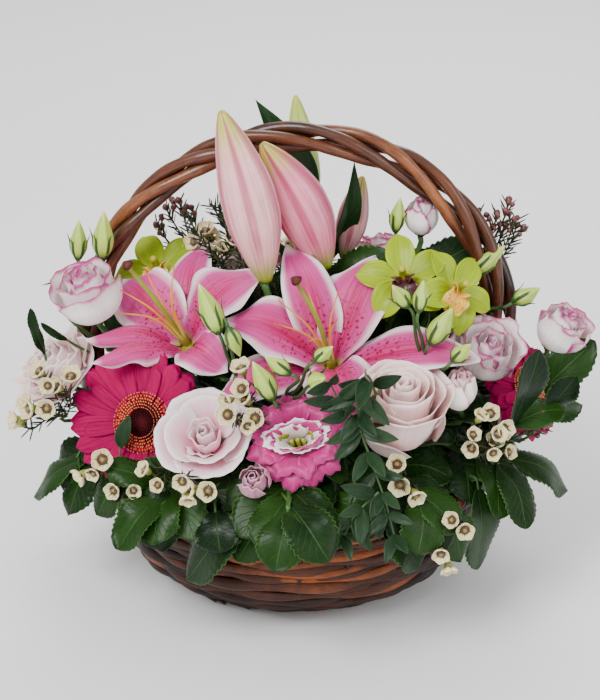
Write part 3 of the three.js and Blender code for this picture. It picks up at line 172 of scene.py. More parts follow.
class Piece:
    """Gathers the closed sheets and rods of one piece, then makes them one mesh."""

    def __init__(self):
        self.points = []
        self.shades = []
        self.faces = []
        self.count = 0

    def add(self, points, shade, faces):
        """Adds closed bodies. Faces are corner numbers, their UVs and a material number."""
        for corners, uvs, material in faces:
            self.faces.append((np.asarray(corners) + self.count, uvs, material))
        self.points.append(points)
        self.shades.append(np.broadcast_to(shade, len(points)))
        self.count += len(points)

    def sheet(self, grid, thickness, shade=0.5, material=0):
        """A petal or a leaf: rows of points, given a thickness that thins out to its edge."""
        rows, cols = grid.shape[:2]
        normals = unit(np.cross(np.gradient(grid, axis=1), np.gradient(grid, axis=0)))
        u = np.linspace(0, 1, cols)
        v = np.linspace(0, 1, rows)
        share = (1 - THIN_EDGE * np.abs(2 * u - 1) ** 4)[None, :] * (1 - THIN_EDGE * v**5)[:, None]
        lift = normals * (thickness / 2 * share)[..., None]
        points = np.concatenate([(grid + lift).reshape(-1, 3), (grid - lift).reshape(-1, 3)])
        total = rows * cols
        ids = np.arange(total).reshape(rows, cols)
        uv = np.stack(np.meshgrid(u, v), axis=-1).reshape(-1, 2)
        quads = np.stack([ids[:-1, :-1], ids[:-1, 1:], ids[1:, 1:], ids[1:, :-1]], -1).reshape(-1, 4)
        under = quads[:, ::-1]
        loop = np.concatenate([ids[0, :-1], ids[:-1, -1], ids[-1, :0:-1], ids[:0:-1, 0]])
        after = np.roll(loop, -1)
        rim = np.stack([after, loop, loop + total, after + total], axis=1)
        rim_uv = uv[np.stack([after, loop, loop, after], axis=1)]
        bodies = ((quads, uv[quads]), (under + total, uv[under]), (rim, rim_uv))
        self.add(points, shade, [(*body, material) for body in bodies])

    def rod(self, line, radii, sides=6, shade=0.5, material=0):
        """A round or ribbed rod along a line; radii are one, one for each row, or rows by sides."""
        line = np.asarray(line, float)
        rows = len(line)
        side, normal = carried(line)
        radii = np.asarray(radii, float)
        if radii.ndim < 2:
            radii = np.broadcast_to(np.broadcast_to(radii, rows)[:, None], (rows, sides))
        turn = np.arange(sides) / sides * TURN
        ring = side[:, None] * np.cos(turn)[None, :, None] + normal[:, None] * np.sin(turn)[None, :, None]
        points = (line[:, None] + ring * radii[..., None]).reshape(-1, 3)
        ids = np.arange(rows * sides).reshape(rows, sides)
        after = np.roll(ids, -1, axis=1)
        quads = np.stack([ids[:-1], after[:-1], after[1:], ids[1:]], -1).reshape(-1, 4)
        u = np.arange(sides) / sides
        low, near = np.meshgrid(u, np.linspace(0, 1, rows)[:-1])
        high = low + 1 / sides
        far = near + 1 / (rows - 1)
        corners = ((low, near), (high, near), (high, far), (low, far))
        uvs = np.stack([np.stack(pair, -1) for pair in corners], -2)
        cap_uv = np.stack([u, np.zeros(sides)], -1)[None]
        self.add(points, shade, [
            (quads, uvs.reshape(-1, 4, 2), material),
            (ids[:1, ::-1], cap_uv, material),
            (ids[-1:], cap_uv + (0, 1), material),
        ])

    def bud(self, base, tip, profile, sides=8, rows=12, ribs=0, depth=0.0, twist=0.0, shade=0.5,
            material=0, bow=(0, 0, 0)):
        """A spindle from base to tip; the profile is pairs of share and radius."""
        base = vec(*base)
        tip = vec(*tip)
        share = np.linspace(0, 1, rows)
        line = base + (tip - base) * share[:, None] + vec(*bow) * (np.sin(share * math.pi))[:, None]
        fine = smooth(profile, 60)
        radius = np.maximum(np.interp(share, fine[:, 0], fine[:, 1]), 0.15)
        turn = np.arange(sides) / sides * TURN
        wave = 1 + depth * np.cos(ribs * turn[None, :] + twist * share[:, None] * TURN)
        self.rod(line, radius[:, None] * wave, sides, shade, material)

    def taken(self, source, material=0):
        """Adds a finished mesh with its shades and UVs, and drops it."""
        mesh = source.data
        points = read(mesh.vertices, "co", 3).reshape(-1, 3) / MM
        starts = read(mesh.polygons, "loop_start", kind=int)
        totals = read(mesh.polygons, "loop_total", kind=int)
        corners = read(mesh.loops, "vertex_index", kind=int)
        uvs = read(mesh.attributes["UVMap"].data, "vector", 2).reshape(-1, 2)
        faces = []
        for total in np.unique(totals):
            index = starts[totals == total][:, None] + np.arange(total)
            faces.append((corners[index], uvs[index], material))
        self.add(points, read(mesh.attributes["shade"].data, "value"), faces)
        bpy.data.objects.remove(source)

    def made(self, name, *finishes):
        """The gathered mesh as an object at the origin, with its finishes."""
        mesh = bpy.data.meshes.new(name)
        points = np.concatenate(self.points) * MM
        sizes = np.concatenate([np.full(len(f[0]), f[0].shape[1]) for f in self.faces])
        corners = np.concatenate([f[0].reshape(-1) for f in self.faces])
        uvs = np.concatenate([np.asarray(f[1], float).reshape(-1, 2) for f in self.faces])
        slots = np.concatenate([np.full(len(f[0]), f[2]) for f in self.faces])
        mesh.vertices.add(len(points))
        mesh.vertices.foreach_set("co", points.reshape(-1))
        mesh.loops.add(len(corners))
        mesh.loops.foreach_set("vertex_index", corners.astype(np.int32))
        mesh.polygons.add(len(sizes))
        starts = np.concatenate([[0], np.cumsum(sizes)[:-1]])
        mesh.polygons.foreach_set("loop_start", starts.astype(np.int32))
        mesh.polygons.foreach_set("material_index", slots.astype(np.int32))
        mesh.polygons.foreach_set("use_smooth", np.ones(len(sizes), bool))
        layer = mesh.uv_layers.new(name="UVMap")
        layer.uv.foreach_set("vector", uvs.reshape(-1).astype(np.float32))
        shade = mesh.attributes.new("shade", "FLOAT", "POINT")
        shade.data.foreach_set("value", np.concatenate(self.shades).astype(np.float32))
        mesh.update(calc_edges=True)
        mesh.validate()
        for key in finishes:
            mesh.materials.append(MATERIALS[key])
        return linked(name, mesh)


def settle(piece, slot, *nodes):
    """Gives a finished piece to the frame: it rides on the body and stands for its nodes."""
    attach(piece, "root")
    if nodes:
        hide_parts(*nodes)


# Half widths of petals and leaves along their length, of the widest
OUTLINES = {
    "lily": [(0, 0.2), (0.12, 0.46), (0.34, 0.9), (0.52, 1), (0.72, 0.84), (0.88, 0.48), (1, 0.03)],
    "strap": [(0, 0.34), (0.2, 0.66), (0.5, 0.95), (0.75, 1), (0.9, 0.84), (0.97, 0.5), (1, 0.1)],
    "round": [(0, 0.24), (0.2, 0.6), (0.45, 0.92), (0.65, 1), (0.82, 0.9), (0.94, 0.6), (1, 0.14)],
    "lance": [(0, 0.2), (0.15, 0.6), (0.38, 1), (0.6, 0.86), (0.82, 0.46), (1, 0.02)],
    "leaf": [(0, 0.06), (0.1, 0.36), (0.3, 0.78), (0.54, 1), (0.76, 0.9), (0.91, 0.56), (0.98, 0.2),
             (1, 0.03)],
    "myrtle": [(0, 0.1), (0.18, 0.74), (0.4, 1), (0.65, 0.84), (0.86, 0.46), (1, 0.03)],
    "needle": [(0, 0.5), (0.3, 1), (0.7, 0.8), (1, 0.05)],
}


def outline(name, t):
    """The half width of a named outline at each share of its length."""
    fine = smooth(OUTLINES[name], 80)
    return np.interp(t, fine[:, 0], fine[:, 1])


def petal_grid(spine, up, width, shape, rows=20, cols=11, bend=0.5, wave=0.0, waves=2.0, phase=0.0,
               ridge=0.0, teeth=0.0, tooth_count=0, roll=0.0):
    """Rows of points for a petal or leaf that follows its spine, cupped, waved and creased."""
    line = smooth(spine, rows)
    tangents = unit(np.gradient(line, axis=0))
    side = unit(np.cross(tangents, up))
    lift = np.cross(side, tangents)
    t = np.linspace(0, 1, rows)
    u = np.linspace(-1, 1, cols)
    half = width / 2 * outline(shape, t)
    half = half * (1 + teeth * ((t * tooth_count) % 1.0 - 0.5))
    bend = float(bend) + roll * t
    bend = np.where(np.abs(bend) < 1e-3, 1e-3, bend)[:, None]
    across = half[:, None] * np.sin(bend * u) / bend
    rise = half[:, None] * (1 - np.cos(bend * u)) / bend
    swing = np.sin(waves * TURN * t[:, None] + phase + np.where(u > 0, 1.7, 0.0))
    rise = rise + wave * np.abs(u) ** 2.4 * swing * ease(t / 0.25)[:, None]
    rise = rise - ridge * np.exp(-((u / 0.16) ** 2)) * ease(t / 0.1)[:, None] * (1 - t[:, None] ** 3)
    return line[:, None] + side[:, None] * across[..., None] + lift[:, None] * rise[..., None]


def cup_petal(bloom, angle, span, profile, tall=1.0, rows=15, cols=17, spiral=0.0, curl=0.0, ruffle=0.0,
              waves=3.0, phase=0.0, lift=0.0, drop=0.35, frill=0.0):
    """Rows of points for a petal that wraps round the heart of a rose or a lisianthus."""
    t = np.linspace(0, 1, rows)[:, None]
    u = np.linspace(-1, 1, cols)[None, :]
    table = smooth(profile, 60)
    steps = np.linspace(0, 1, len(table))
    level = t * (1 - drop * np.abs(u) ** 3.4 * t)
    reach = np.interp(level, steps, table[:, 0])
    rise = np.interp(level, steps, table[:, 1]) * tall + lift
    spread = span * (0.34 + 0.66 * np.sin(np.minimum(t * 1.25, 1.0) * math.pi / 2))
    lip = ease((t - 0.8) / 0.2)
    reach = reach * (1 + spiral * u) + curl * ease((t - 0.72) / 0.28) * (1 - 0.4 * u**2)
    reach = reach + ruffle * np.sin(waves * math.pi * u + phase) * ease((t - 0.45) / 0.55)
    reach = reach + frill * np.sin(waves * 3.1 * math.pi * u + phase * 2) * lip
    rise = rise - abs(curl) * 0.45 * lip + frill * np.cos(waves * 2.3 * math.pi * u + phase) * lip
    return bloom.at(angle + spread * u, np.maximum(reach, 0.4), rise)


def bow(bloom, angle, root, mid, tip, sag=0.0, count=11, sway=0.0):
    """The spine of an open petal: reach and height at its root, its bend and its tip."""
    t = np.linspace(0, 1, count)[:, None]
    curve = (1 - t) ** 2 * vec(*root) + 2 * t * (1 - t) * vec(*mid) + t * t * vec(*tip)
    t = t[:, 0]
    return bloom.at(angle + sway * t**2, curve[:, 0], curve[:, 1] - sag * ease((t - 0.62) / 0.38))


# Node trees


class Value:
    """A value of a node tree, so that sums of values are written as plain sums."""

    def __init__(self, graph, socket):
        self.graph = graph
        self.socket = socket

    def maths(self, operation, other=0.0):
        """One sum with another value."""
        return self.graph.put("ShaderNodeMath", {0: self, 1: other}, operation=operation)

    def __add__(self, other):
        return self.maths("ADD", other)

    def __sub__(self, other):
        return self.maths("SUBTRACT", other)

    def __mul__(self, other):
        return self.maths("MULTIPLY", other)

    def __truediv__(self, other):
        return self.maths("DIVIDE", other)

    def step(self, low, high, first=0.0, last=1.0):
        """A soft step between two levels."""
        inputs = {0: self, 1: low, 2: high, 3: first, 4: last}
        return self.graph.put("ShaderNodeMapRange", inputs, interpolation_type="SMOOTHSTEP")


class Graph:
    """A node tree in the making."""

    def __init__(self, tree):
        self.tree = tree

    def node(self, kind, inputs=None, **settings):
        """Adds a node. An input may be a plain setting or a Value."""
        made = self.tree.nodes.new(kind)
        for name, value in settings.items():
            setattr(made, name, value)
        for socket, value in (inputs or {}).items():
            self.feed(made.inputs[socket], value)
        return made

    def feed(self, socket, value):
        """Links a Value to a socket, or sets the socket to a plain setting."""
        if isinstance(value, Value):
            self.tree.links.new(value.socket, socket)
        else:
            socket.default_value = value

    def put(self, kind, inputs=None, out=0, **settings):
        """Adds a node and returns one of its outputs."""
        return Value(self, self.node(kind, inputs, **settings).outputs[out])

    def take(self, inputs):
        """Gives a group its named inputs, each a kind of socket and a setting, as Values."""
        interface = self.tree.interface
        for label, (kind, setting) in inputs.items():
            socket = interface.new_socket(name=label, in_out="INPUT", socket_type="NodeSocket" + kind)
            if setting is not None:
                socket.default_value = setting
        sockets = self.tree.nodes.new("NodeGroupInput").outputs
        return {label: Value(self, sockets[label]) for label in inputs}

    def give(self, results):
        """Gives a group its named outputs, each a kind of socket and a Value."""
        for label, (kind, _) in results.items():
            self.tree.interface.new_socket(name=label, in_out="OUTPUT", socket_type="NodeSocket" + kind)
        sockets = self.tree.nodes.new("NodeGroupOutput").inputs
        for label, (_, value) in results.items():
            self.feed(sockets[label], value)

    def blend(self, share, first, second, kind="MIX"):
        """A mix of two colours."""
        inputs = {0: share, 6: first, 7: second}
        return self.put("ShaderNodeMix", inputs, out=2, data_type="RGBA", blend_type=kind)

    def noise(self, place, scale=1.0, detail=3.0, rough=0.55):
        """Soft random values over a surface."""
        inputs = {"Vector": place, "Scale": scale, "Detail": detail, "Roughness": rough}
        return self.put("ShaderNodeTexNoise", inputs)

    def joined(self, x, y, z):
        """Three values as one place."""
        return self.put("ShaderNodeCombineXYZ", {0: x, 1: y, 2: z})

    def on_object(self):
        """The place on the object."""
        return self.put("ShaderNodeTexCoord", out="Object")

    def toned(self, colours, tone):
        """Colours made lighter or darker."""
        return self.put("ShaderNodeHueSaturation", {"Color": colours, "Value": tone})


GROUPS = {}


class Tint(Graph):
    """A shader group: it knows where on a petal, leaf or strip a point lies, and its own shade."""

    def __init__(self, name, levels):
        super().__init__(bpy.data.node_groups.new(name, "ShaderNodeTree"))
        GROUPS[name] = self.tree
        self.given = self.take({
            label: ("Color", colour(value)) if isinstance(value, tuple) else ("Float", value)
            for label, value in levels.items()
        })
        parts = self.node("ShaderNodeSeparateXYZ", {0: self.put("ShaderNodeUVMap", uv_map="UVMap")}).outputs
        self.u = Value(self, parts[0])
        self.along = Value(self, parts[1])
        self.across = (self.u * 2.0 - 1.0).maths("ABSOLUTE")
        self.shade = self.put("ShaderNodeAttribute", out="Fac", attribute_name="shade")

    def spread(self, across, along, apart):
        """The UV drawn out both ways, other for every petal, leaf or strip."""
        return self.joined(self.u * across, self.along * along, self.shade * apart)

    def end(self, colours, height, rough=None):
        """Closes the group with its results."""
        results = {"Color": ("Color", colours), "Height": ("Float", height)}
        if rough:
            results["Roughness"] = ("Float", rough)
        self.give(results)


def colour(values):
    """Red, green and blue with a full alpha."""
    return (*values[:3], 1.0)


def petal_group():
    """Colours of a petal: heart, blade, edge, midrib, fine streaks and its own tone."""
    tint = Tint("Petal tint", {
        "Heart": (0.9, 0.9, 0.5), "Blade": (0.9, 0.5, 0.6), "Edge": (1, 0.9, 0.9), "Midrib": (0.8, 0.1, 0.3),
        "Heart reach": 0.3, "Edge width": 0.2, "Edge strength": 1.0, "Midrib width": 0.2,
        "Midrib strength": 0.0, "Streaks": 0.3, "Streak count": 26.0, "Tone": 0.2, "Edge break": 0.15,
    })
    given = tint.given
    along = tint.along
    place = tint.spread(given["Streak count"], 1.6, 37.0)
    streak = tint.noise(place, detail=4.0, rough=0.65)
    wide = tint.put("ShaderNodeMapping", {"Vector": place, "Scale": (0.12, 1.6, 1)})
    ragged = (tint.noise(wide) - 0.5) * given["Edge break"]
    colours = tint.blend(along.step(0.0, given["Heart reach"]), given["Heart"], given["Blade"])
    rim = tint.across.maths("MAXIMUM", along * 3.0 - 2.0) + ragged
    inner = given["Edge width"] * -1.0 + 1.0
    edge = rim.step(inner, 1.0) * given["Edge strength"] * along.step(0.02, 0.3)
    colours = tint.blend(edge, colours, given["Edge"])
    core = (tint.across / given["Midrib width"]).step(1.0, 0.0) * along.step(1.0, 0.45)
    core = core * given["Midrib strength"] * streak.step(0.25, 0.6)
    colours = tint.blend(core, colours, given["Midrib"])
    dull = tint.blend(1.0, colours, given["Midrib"], "MULTIPLY")
    colours = tint.blend(streak.step(0.42, 0.62) * given["Streaks"], colours, dull)
    tint.end(tint.toned(colours, (tint.shade - 0.5) * given["Tone"] + 1.0), streak)


def spot_group():
    """Small spots over the lower part of a petal, and a mask of where they lie."""
    tint = Tint("Petal spots", {
        "Color": (1, 1, 1), "Spot": (0.4, 0.02, 0.1), "Across": 9.0, "Along": 15.0, "Size": 0.3,
        "Reach": 0.6, "Band": 0.75, "Strength": 1.0,
    })
    given = tint.given
    place = tint.spread(given["Across"], given["Along"], 23.0)
    cells = tint.put("ShaderNodeTexVoronoi", {"Vector": place, "Scale": 1.0}, out="Distance")
    dots = cells.step(given["Size"], given["Size"] * 0.55)
    near = tint.along.step(given["Reach"], given["Reach"] * 0.55) * tint.along.step(0.04, 0.12)
    inside = tint.across.step(given["Band"], given["Band"] * 0.6)
    mask = dots * near * inside
    tint.end(tint.blend(mask * given["Strength"], given["Color"], given["Spot"]), mask)


def leaf_group():
    """Colours of a leaf: two greens, a pale midrib, side veins and a paler edge."""
    tint = Tint("Leaf veins", {
        "Deep": (0.02, 0.09, 0.015), "Fresh": (0.08, 0.22, 0.03), "Vein": (0.35, 0.5, 0.16),
        "Vein count": 9.0, "Vein strength": 0.5, "Midrib width": 0.04, "Edge strength": 0.6, "Tone": 0.7,
    })
    given = tint.given
    across = tint.across
    place = tint.spread(1.0, 1.0, 19.0)
    cloud = tint.noise(place, 3.2, 4.0)
    grain = tint.noise(place, 46.0)
    turns = (across * -0.32 + tint.along) * given["Vein count"]
    saw = (turns.maths("FRACT") - 0.5).maths("ABSOLUTE")
    side_vein = saw.step(0.07, 0.0) * across.step(0.95, 0.3)
    rib = across.step(given["Midrib width"], 0.0)
    mixed = (cloud - 0.5) * 1.1 + tint.shade
    colours = tint.blend(mixed * given["Tone"], given["Deep"], given["Fresh"])
    colours = tint.blend(across.step(0.92, 1.0) * given["Edge strength"], colours, given["Vein"])
    veins = (side_vein * given["Vein strength"] * 0.55).maths("MAXIMUM", rib * 0.9)
    colours = tint.blend(veins * given["Vein strength"], colours, given["Vein"])
    tint.end(colours, grain * 0.25 - side_vein * 0.8 - rib, cloud.step(0.2, 0.9, 0.24, 0.48))


def wood_group():
    """Bark and split wood: long grain, darker fibres and strips of different brown."""
    tint = Tint("Willow grain", {
        "Dark": (0.05, 0.016, 0.006), "Warm": (0.3, 0.11, 0.035), "Light": (0.6, 0.32, 0.13),
        "Grain": 1.0, "Strip tone": 1.0, "Gloss": 0.3,
    })
    given = tint.given
    cloud = tint.noise(tint.on_object(), 38.0, 4.0)
    grain = tint.noise(tint.spread(20.0, 2.4, 31.0), detail=6.0, rough=0.7)
    # On the wall strips the shade also carries a painted highlight, which turns the front of the upper rows
    # towards Light
    tone = ((cloud - 0.5) * 0.9 + tint.shade) * given["Strip tone"]
    colours = tint.blend(tone.step(0.05, 0.75), given["Dark"], given["Warm"])
    colours = tint.blend(tone.step(0.72, 1.3), colours, given["Light"])
    colours = tint.blend(grain.step(0.5, 0.3) * given["Grain"] * 0.75, colours, given["Dark"])
    tint.end(colours, grain, grain * 0.3 + given["Gloss"])


def skin_group():
    """Smooth green or pale skins of stems, buds and cups: a base, a body, a tip and ribs."""
    tint = Tint("Bud skin", {
        "Base": (0.2, 0.35, 0.08), "Body": (0.6, 0.7, 0.3), "Tip": (0.8, 0.8, 0.5), "Rib": (0.8, 0.3, 0.4),
        "Base reach": 0.25, "Tip start": 0.8, "Rib count": 6.0, "Rib strength": 0.0, "Streaks": 0.3,
        "Tone": 0.3,
    })
    given = tint.given
    along = tint.along
    cloud = tint.noise(tint.on_object(), 90.0)
    streak = tint.noise(tint.spread(52.0, 1.8, 17.0), detail=4.0, rough=0.6)
    colours = tint.blend(along.step(0.0, given["Base reach"]), given["Base"], given["Body"])
    colours = tint.blend(along.step(given["Tip start"], 1.0), colours, given["Tip"])
    wave = (tint.u * given["Rib count"] * TURN).maths("COSINE")
    rib = wave.step(0.1, 1.0) * given["Rib strength"] * along.step(0.04, 0.3) * streak.step(0.0, 0.5)
    colours = tint.blend(rib, colours, given["Rib"])
    dull = tint.blend(1.0, colours, given["Rib"], "MULTIPLY")
    colours = tint.blend(streak.step(0.45, 0.7) * given["Streaks"], colours, dull)
    tone = (tint.shade - 0.5) * given["Tone"] + (cloud - 0.5) * 0.3 + 1.0
    tint.end(tint.toned(colours, tone), streak)


def set_levels(node, levels):
    """Sets a group's named inputs from words such as heart_reach."""
    for word, value in levels.items():
        label = word.replace("_", " ").capitalize()
        node.inputs[label].default_value = colour(value) if hasattr(value, "__len__") else value


def finish(key, name, group, rough=0.5, bump=0.2, depth=0.0004, sheen=0.0, soft=0.0, coat=0.0,
           coat_rough=0.2, specular=0.5, spots=None, **levels):
    """A material under a key: one of the groups feeds the colour and bump of a Principled shader."""
    material = bpy.data.materials.new(name)
    material.use_nodes = True
    graph = Graph(material.node_tree)
    shader = material.node_tree.nodes["Principled BSDF"].inputs
    tint = graph.node("ShaderNodeGroup", node_tree=GROUPS[group])
    set_levels(tint, levels)
    result = Value(graph, tint.outputs["Color"])
    if spots:
        dots = graph.node("ShaderNodeGroup", {"Color": result}, node_tree=GROUPS["Petal spots"])
        set_levels(dots, spots)
        result = Value(graph, dots.outputs["Color"])
    raised = {"Strength": bump, "Distance": depth, "Height": Value(graph, tint.outputs["Height"])}
    graph.feed(shader["Base Color"], result)
    graph.feed(shader["Normal"], graph.put("ShaderNodeBump", raised))
    graph.feed(shader["Roughness"], Value(graph, tint.outputs["Roughness"]) if rough is None else rough)
    graph.feed(shader["Sheen Weight"], sheen)
    graph.feed(shader["Subsurface Weight"], soft)
    graph.feed(shader["Subsurface Scale"], 0.004)
    graph.feed(shader["Coat Weight"], coat)
    graph.feed(shader["Coat Roughness"], coat_rough)
    graph.feed(shader["Specular IOR Level"], specular)
    MATERIALS[key] = material


# Geometry Nodes: strips swept along paths, and heads set on points


class Shaper(Graph):
    """A Geometry Nodes tree with its named inputs."""

    def __init__(self, name, inputs):
        super().__init__(bpy.data.node_groups.new(name, "GeometryNodeTree"))
        self.given = self.take({"Geometry": ("Geometry", None), **inputs, "Material": ("Material", None)})

    def stored(self, geometry, name, value):
        """Keeps a value on the geometry's points under a name."""
        inputs = {"Geometry": geometry, "Name": name, "Value": value}
        return self.put("GeometryNodeStoreNamedAttribute", inputs, data_type="FLOAT", domain="POINT")

    def named(self, name, kind="FLOAT"):
        """A value that the geometry carries."""
        return self.put("GeometryNodeInputNamedAttribute", {"Name": name}, data_type=kind)

    def end(self, geometry):
        """Ends the tree: smooth faces, real instances and the material."""
        smoothed = self.put("GeometryNodeSetShadeSmooth", {"Geometry": geometry})
        real = self.put("GeometryNodeRealizeInstances", {"Geometry": smoothed})
        inputs = {"Geometry": real, "Material": self.given["Material"]}
        self.give({"Geometry": ("Geometry", self.put("GeometryNodeSetMaterial", inputs))})
        return self.tree


def sweep_tree():
    """Sweeps an oval section along every line of a mesh, as thick as the line's own points say."""
    shaper = Shaper("Swept strips", {
        "Sides": ("Int", 8), "Thickness": ("Float", 1.0), "Upright": ("Bool", False),
    })
    given = shaper.given
    lines = shaper.put("GeometryNodeMeshToCurve", {"Mesh": given["Geometry"]})
    free = shaper.put("GeometryNodeSetCurveNormal", {"Curve": lines}, mode="MINIMUM_TWIST")
    level = shaper.put("GeometryNodeSetCurveNormal", {"Curve": lines}, mode="Z_UP")
    choice = {"Switch": given["Upright"], "False": free, "True": level}
    lines = shaper.put("GeometryNodeSwitch", choice, input_type="GEOMETRY")
    lines = shaper.put("GeometryNodeSetCurveTilt", {"Curve": lines, "Tilt": shaper.named("tilt")})
    lines = shaper.stored(lines, "run", shaper.put("GeometryNodeSplineParameter", out="Factor"))
    circle = shaper.put("GeometryNodeCurvePrimitiveCircle", {"Resolution": given["Sides"], "Radius": 1.0})
    size = shaper.joined(given["Thickness"], 1.0, 1.0)
    oval = shaper.put("GeometryNodeTransform", {"Geometry": circle, "Scale": size})
    oval = shaper.stored(oval, "round", shaper.put("GeometryNodeSplineParameter", out="Factor"))
    inputs = {"Curve": lines, "Profile Curve": oval, "Scale": shaper.named("thick"), "Fill Caps": True}
    return shaper.end(shaper.put("GeometryNodeCurveToMesh", inputs))


def scatter_tree():
    """Sets a copy of a head on every point, aimed and sized as the point says."""
    shaper = Shaper("Set heads", {"Head": ("Object", None), "Seed": ("Int", 0)})
    given = shaper.given
    head = shaper.put("GeometryNodeObjectInfo", {"Object": given["Head"]}, out="Geometry")
    aim = shaper.named("aim", "FLOAT_VECTOR")
    turned = shaper.put("FunctionNodeAlignRotationToVector", {"Vector": aim}, axis="Z")
    drawn = {2: 0.0, 3: TURN, "Seed": given["Seed"]}
    spin = shaper.put("FunctionNodeRandomValue", drawn, out=1, data_type="FLOAT")
    twist = shaper.put("FunctionNodeAxisAngleToRotation", {"Axis": (0, 0, 1), "Angle": spin})
    turned = shaper.put("FunctionNodeRotateRotation", {0: turned, 1: twist}, rotation_space="LOCAL")
    size = shaper.named("thick")
    inputs = {"Points": given["Geometry"], "Instance": head, "Rotation": turned, "Scale": size}
    return shaper.end(shaper.put("GeometryNodeInstanceOnPoints", inputs))


TREES = {}
MATERIALS = {}


def grown(mesh, tree, values):
    """Runs a tree on a mesh of lines or points and returns the plain mesh it makes, as an object."""
    carrier = linked("carrier", mesh)
    modifier = carrier.modifiers.new(tree, "NODES")
    modifier.node_group = TREES[tree]
    for item in TREES[tree].interface.items_tree:
        if item.item_type == "SOCKET" and item.in_out == "INPUT" and item.name in values:
            modifier[item.identifier] = values[item.name]
    view = bpy.context.evaluated_depsgraph_get()
    view.update()
    result = bpy.data.meshes.new_from_object(carrier.evaluated_get(view))
    carrier.modifiers.remove(modifier)
    bpy.data.objects.remove(carrier)
    return linked("grown", result)


def swept(lines, material, sides=8, thickness=1.0, upright=False, stretch=8.0):
    """Strips along lines. A line is its points, thickness, tilt, shade and whether it is a ring."""
    points = np.concatenate([line["points"] for line in lines]) * MM
    mesh = bpy.data.meshes.new("lines")
    edges = []
    start = 0
    for line in lines:
        count = len(line["points"])
        edges += [(start + k, start + k + 1) for k in range(count - 1)]
        if line.get("ring"):
            edges.append((start + count - 1, start))
        start += count
    mesh.from_pydata(points.tolist(), edges, [])
    for key, default, scale in (("thick", 1.0, MM), ("tilt", 0.0, 1.0), ("shade", 0.5, 1.0)):
        held = mesh.attributes.new(key, "FLOAT", "POINT")
        values = [np.broadcast_to(line.get(key, default), len(line["points"])) for line in lines]
        held.data.foreach_set("value", (np.concatenate(values) * scale).astype(np.float32))
    made = grown(mesh, "sweep", {
        "Sides": sides, "Thickness": thickness, "Upright": upright, "Material": MATERIALS[material],
    })
    unrolled(made.data, stretch)
    return made


def unrolled(mesh, stretch):
    """Gives a swept mesh its UVs from the run and round it was swept with, mended at the seams."""
    corners = read(mesh.loops, "vertex_index", kind=int)
    totals = read(mesh.polygons, "loop_total", kind=int)
    owner = np.repeat(np.arange(len(totals)), totals)
    columns = []
    for key, scale in (("round", 1.0), ("run", stretch)):
        values = read(mesh.attributes[key].data, "value")[corners]
        most = np.zeros(len(totals))
        np.maximum.at(most, owner, values)
        values = np.where(most[owner] - values > 0.5, values + 1, values)
        columns.append(values * scale)
    layer = mesh.uv_layers.new(name="UVMap")
    layer.uv.foreach_set("vector", np.stack(columns, 1).reshape(-1).astype(np.float32))


def scattered(head, places, aims, sizes, material, seed=0):
    """Copies of a head on places, aimed along aims."""
    mesh = bpy.data.meshes.new("points")
    mesh.from_pydata((np.asarray(places) * MM).tolist(), [], [])
    aim = mesh.attributes.new("aim", "FLOAT_VECTOR", "POINT")
    aim.data.foreach_set("vector", unit(aims).reshape(-1).astype(np.float32))
    thick = mesh.attributes.new("thick", "FLOAT", "POINT")
    thick.data.foreach_set("value", np.broadcast_to(sizes, len(places)).astype(np.float32))
    return grown(mesh, "scatter", {"Head": head, "Seed": seed, "Material": MATERIALS[material]})


# Sizes and colours that a user would change


def shade_of(name, words, value):
    """A colour setting."""
    return FloatVectorProperty(name=name, description=words, subtype="COLOR", size=3, min=0.0, max=1.0,
                               default=value)


def length_of(name, words, value, low, high):
    """A length setting in metres."""
    return FloatProperty(name=name, description=words, unit="LENGTH", default=value, min=low, max=high)


class BasketSettings(bpy.types.PropertyGroup):
    """Sizes and colours of the willow basket."""

    strip_width: length_of("Strip width", "Width of a split willow strip in the wall", 0.0086, 0.003, 0.02)
    strip_thickness: length_of("Strip thickness", "Thickness of a willow strip", 0.0034, 0.001, 0.006)
    rows: IntProperty(name="Rows", description="Rows of strips in the wall", default=14, min=6, max=40)
    stakes: IntProperty(name="Stakes", description="Upright stakes in the wall", default=24, min=8, max=60)
    rod_radius: length_of("Rod radius", "Radius of a rod of the handle", 0.00459, 0.002, 0.01)
    dark: shade_of("Dark willow", "Colour of the shaded willow", (0.012, 0.0045, 0.003))
    warm: shade_of("Warm willow", "Main colour of the willow", (0.062, 0.019, 0.01))
    # Light willow is also the colour of the painted highlight on the front of the upper rows of the wall
    light: shade_of("Light willow", "Colour of the lightest strips", (0.3, 0.075, 0.02))


class LilySettings(bpy.types.PropertyGroup):
    """Colours of the lilies."""

    blade: shade_of("Petal", "Main pink of a lily petal", (0.6, 0.06, 0.28))
    edge: shade_of("Margin", "Pale wavy margin of a lily petal", (0.97, 0.9, 0.92))
    midrib: shade_of("Midrib", "Deep streak along a lily petal", (0.5, 0.0, 0.1))
    spot: shade_of("Spots", "Raised spots near the throat", (0.22, 0.0, 0.04))
    bud: shade_of("Bud", "Pale body of a lily bud", (0.86, 0.45, 0.47))


class BloomSettings(bpy.types.PropertyGroup):
    """Colours of the gerberas, orchids, roses and lisianthus."""

    gerbera: shade_of("Gerbera", "Magenta of the gerbera rays", (0.36, 0.0, 0.075))
    orchid: shade_of("Orchid", "Lime green of the orchid", (0.3, 0.41, 0.0))
    blush: shade_of("Blush rose", "Pale pink of the rose", (0.95, 0.7, 0.68))
    lisianthus: shade_of("Lisianthus", "Pink of the open lisianthus", (0.5, 0.005, 0.18))
    frill: shade_of("Edge tint", "Crinkled edge of the white lisianthus", (0.42, 0.008, 0.19))


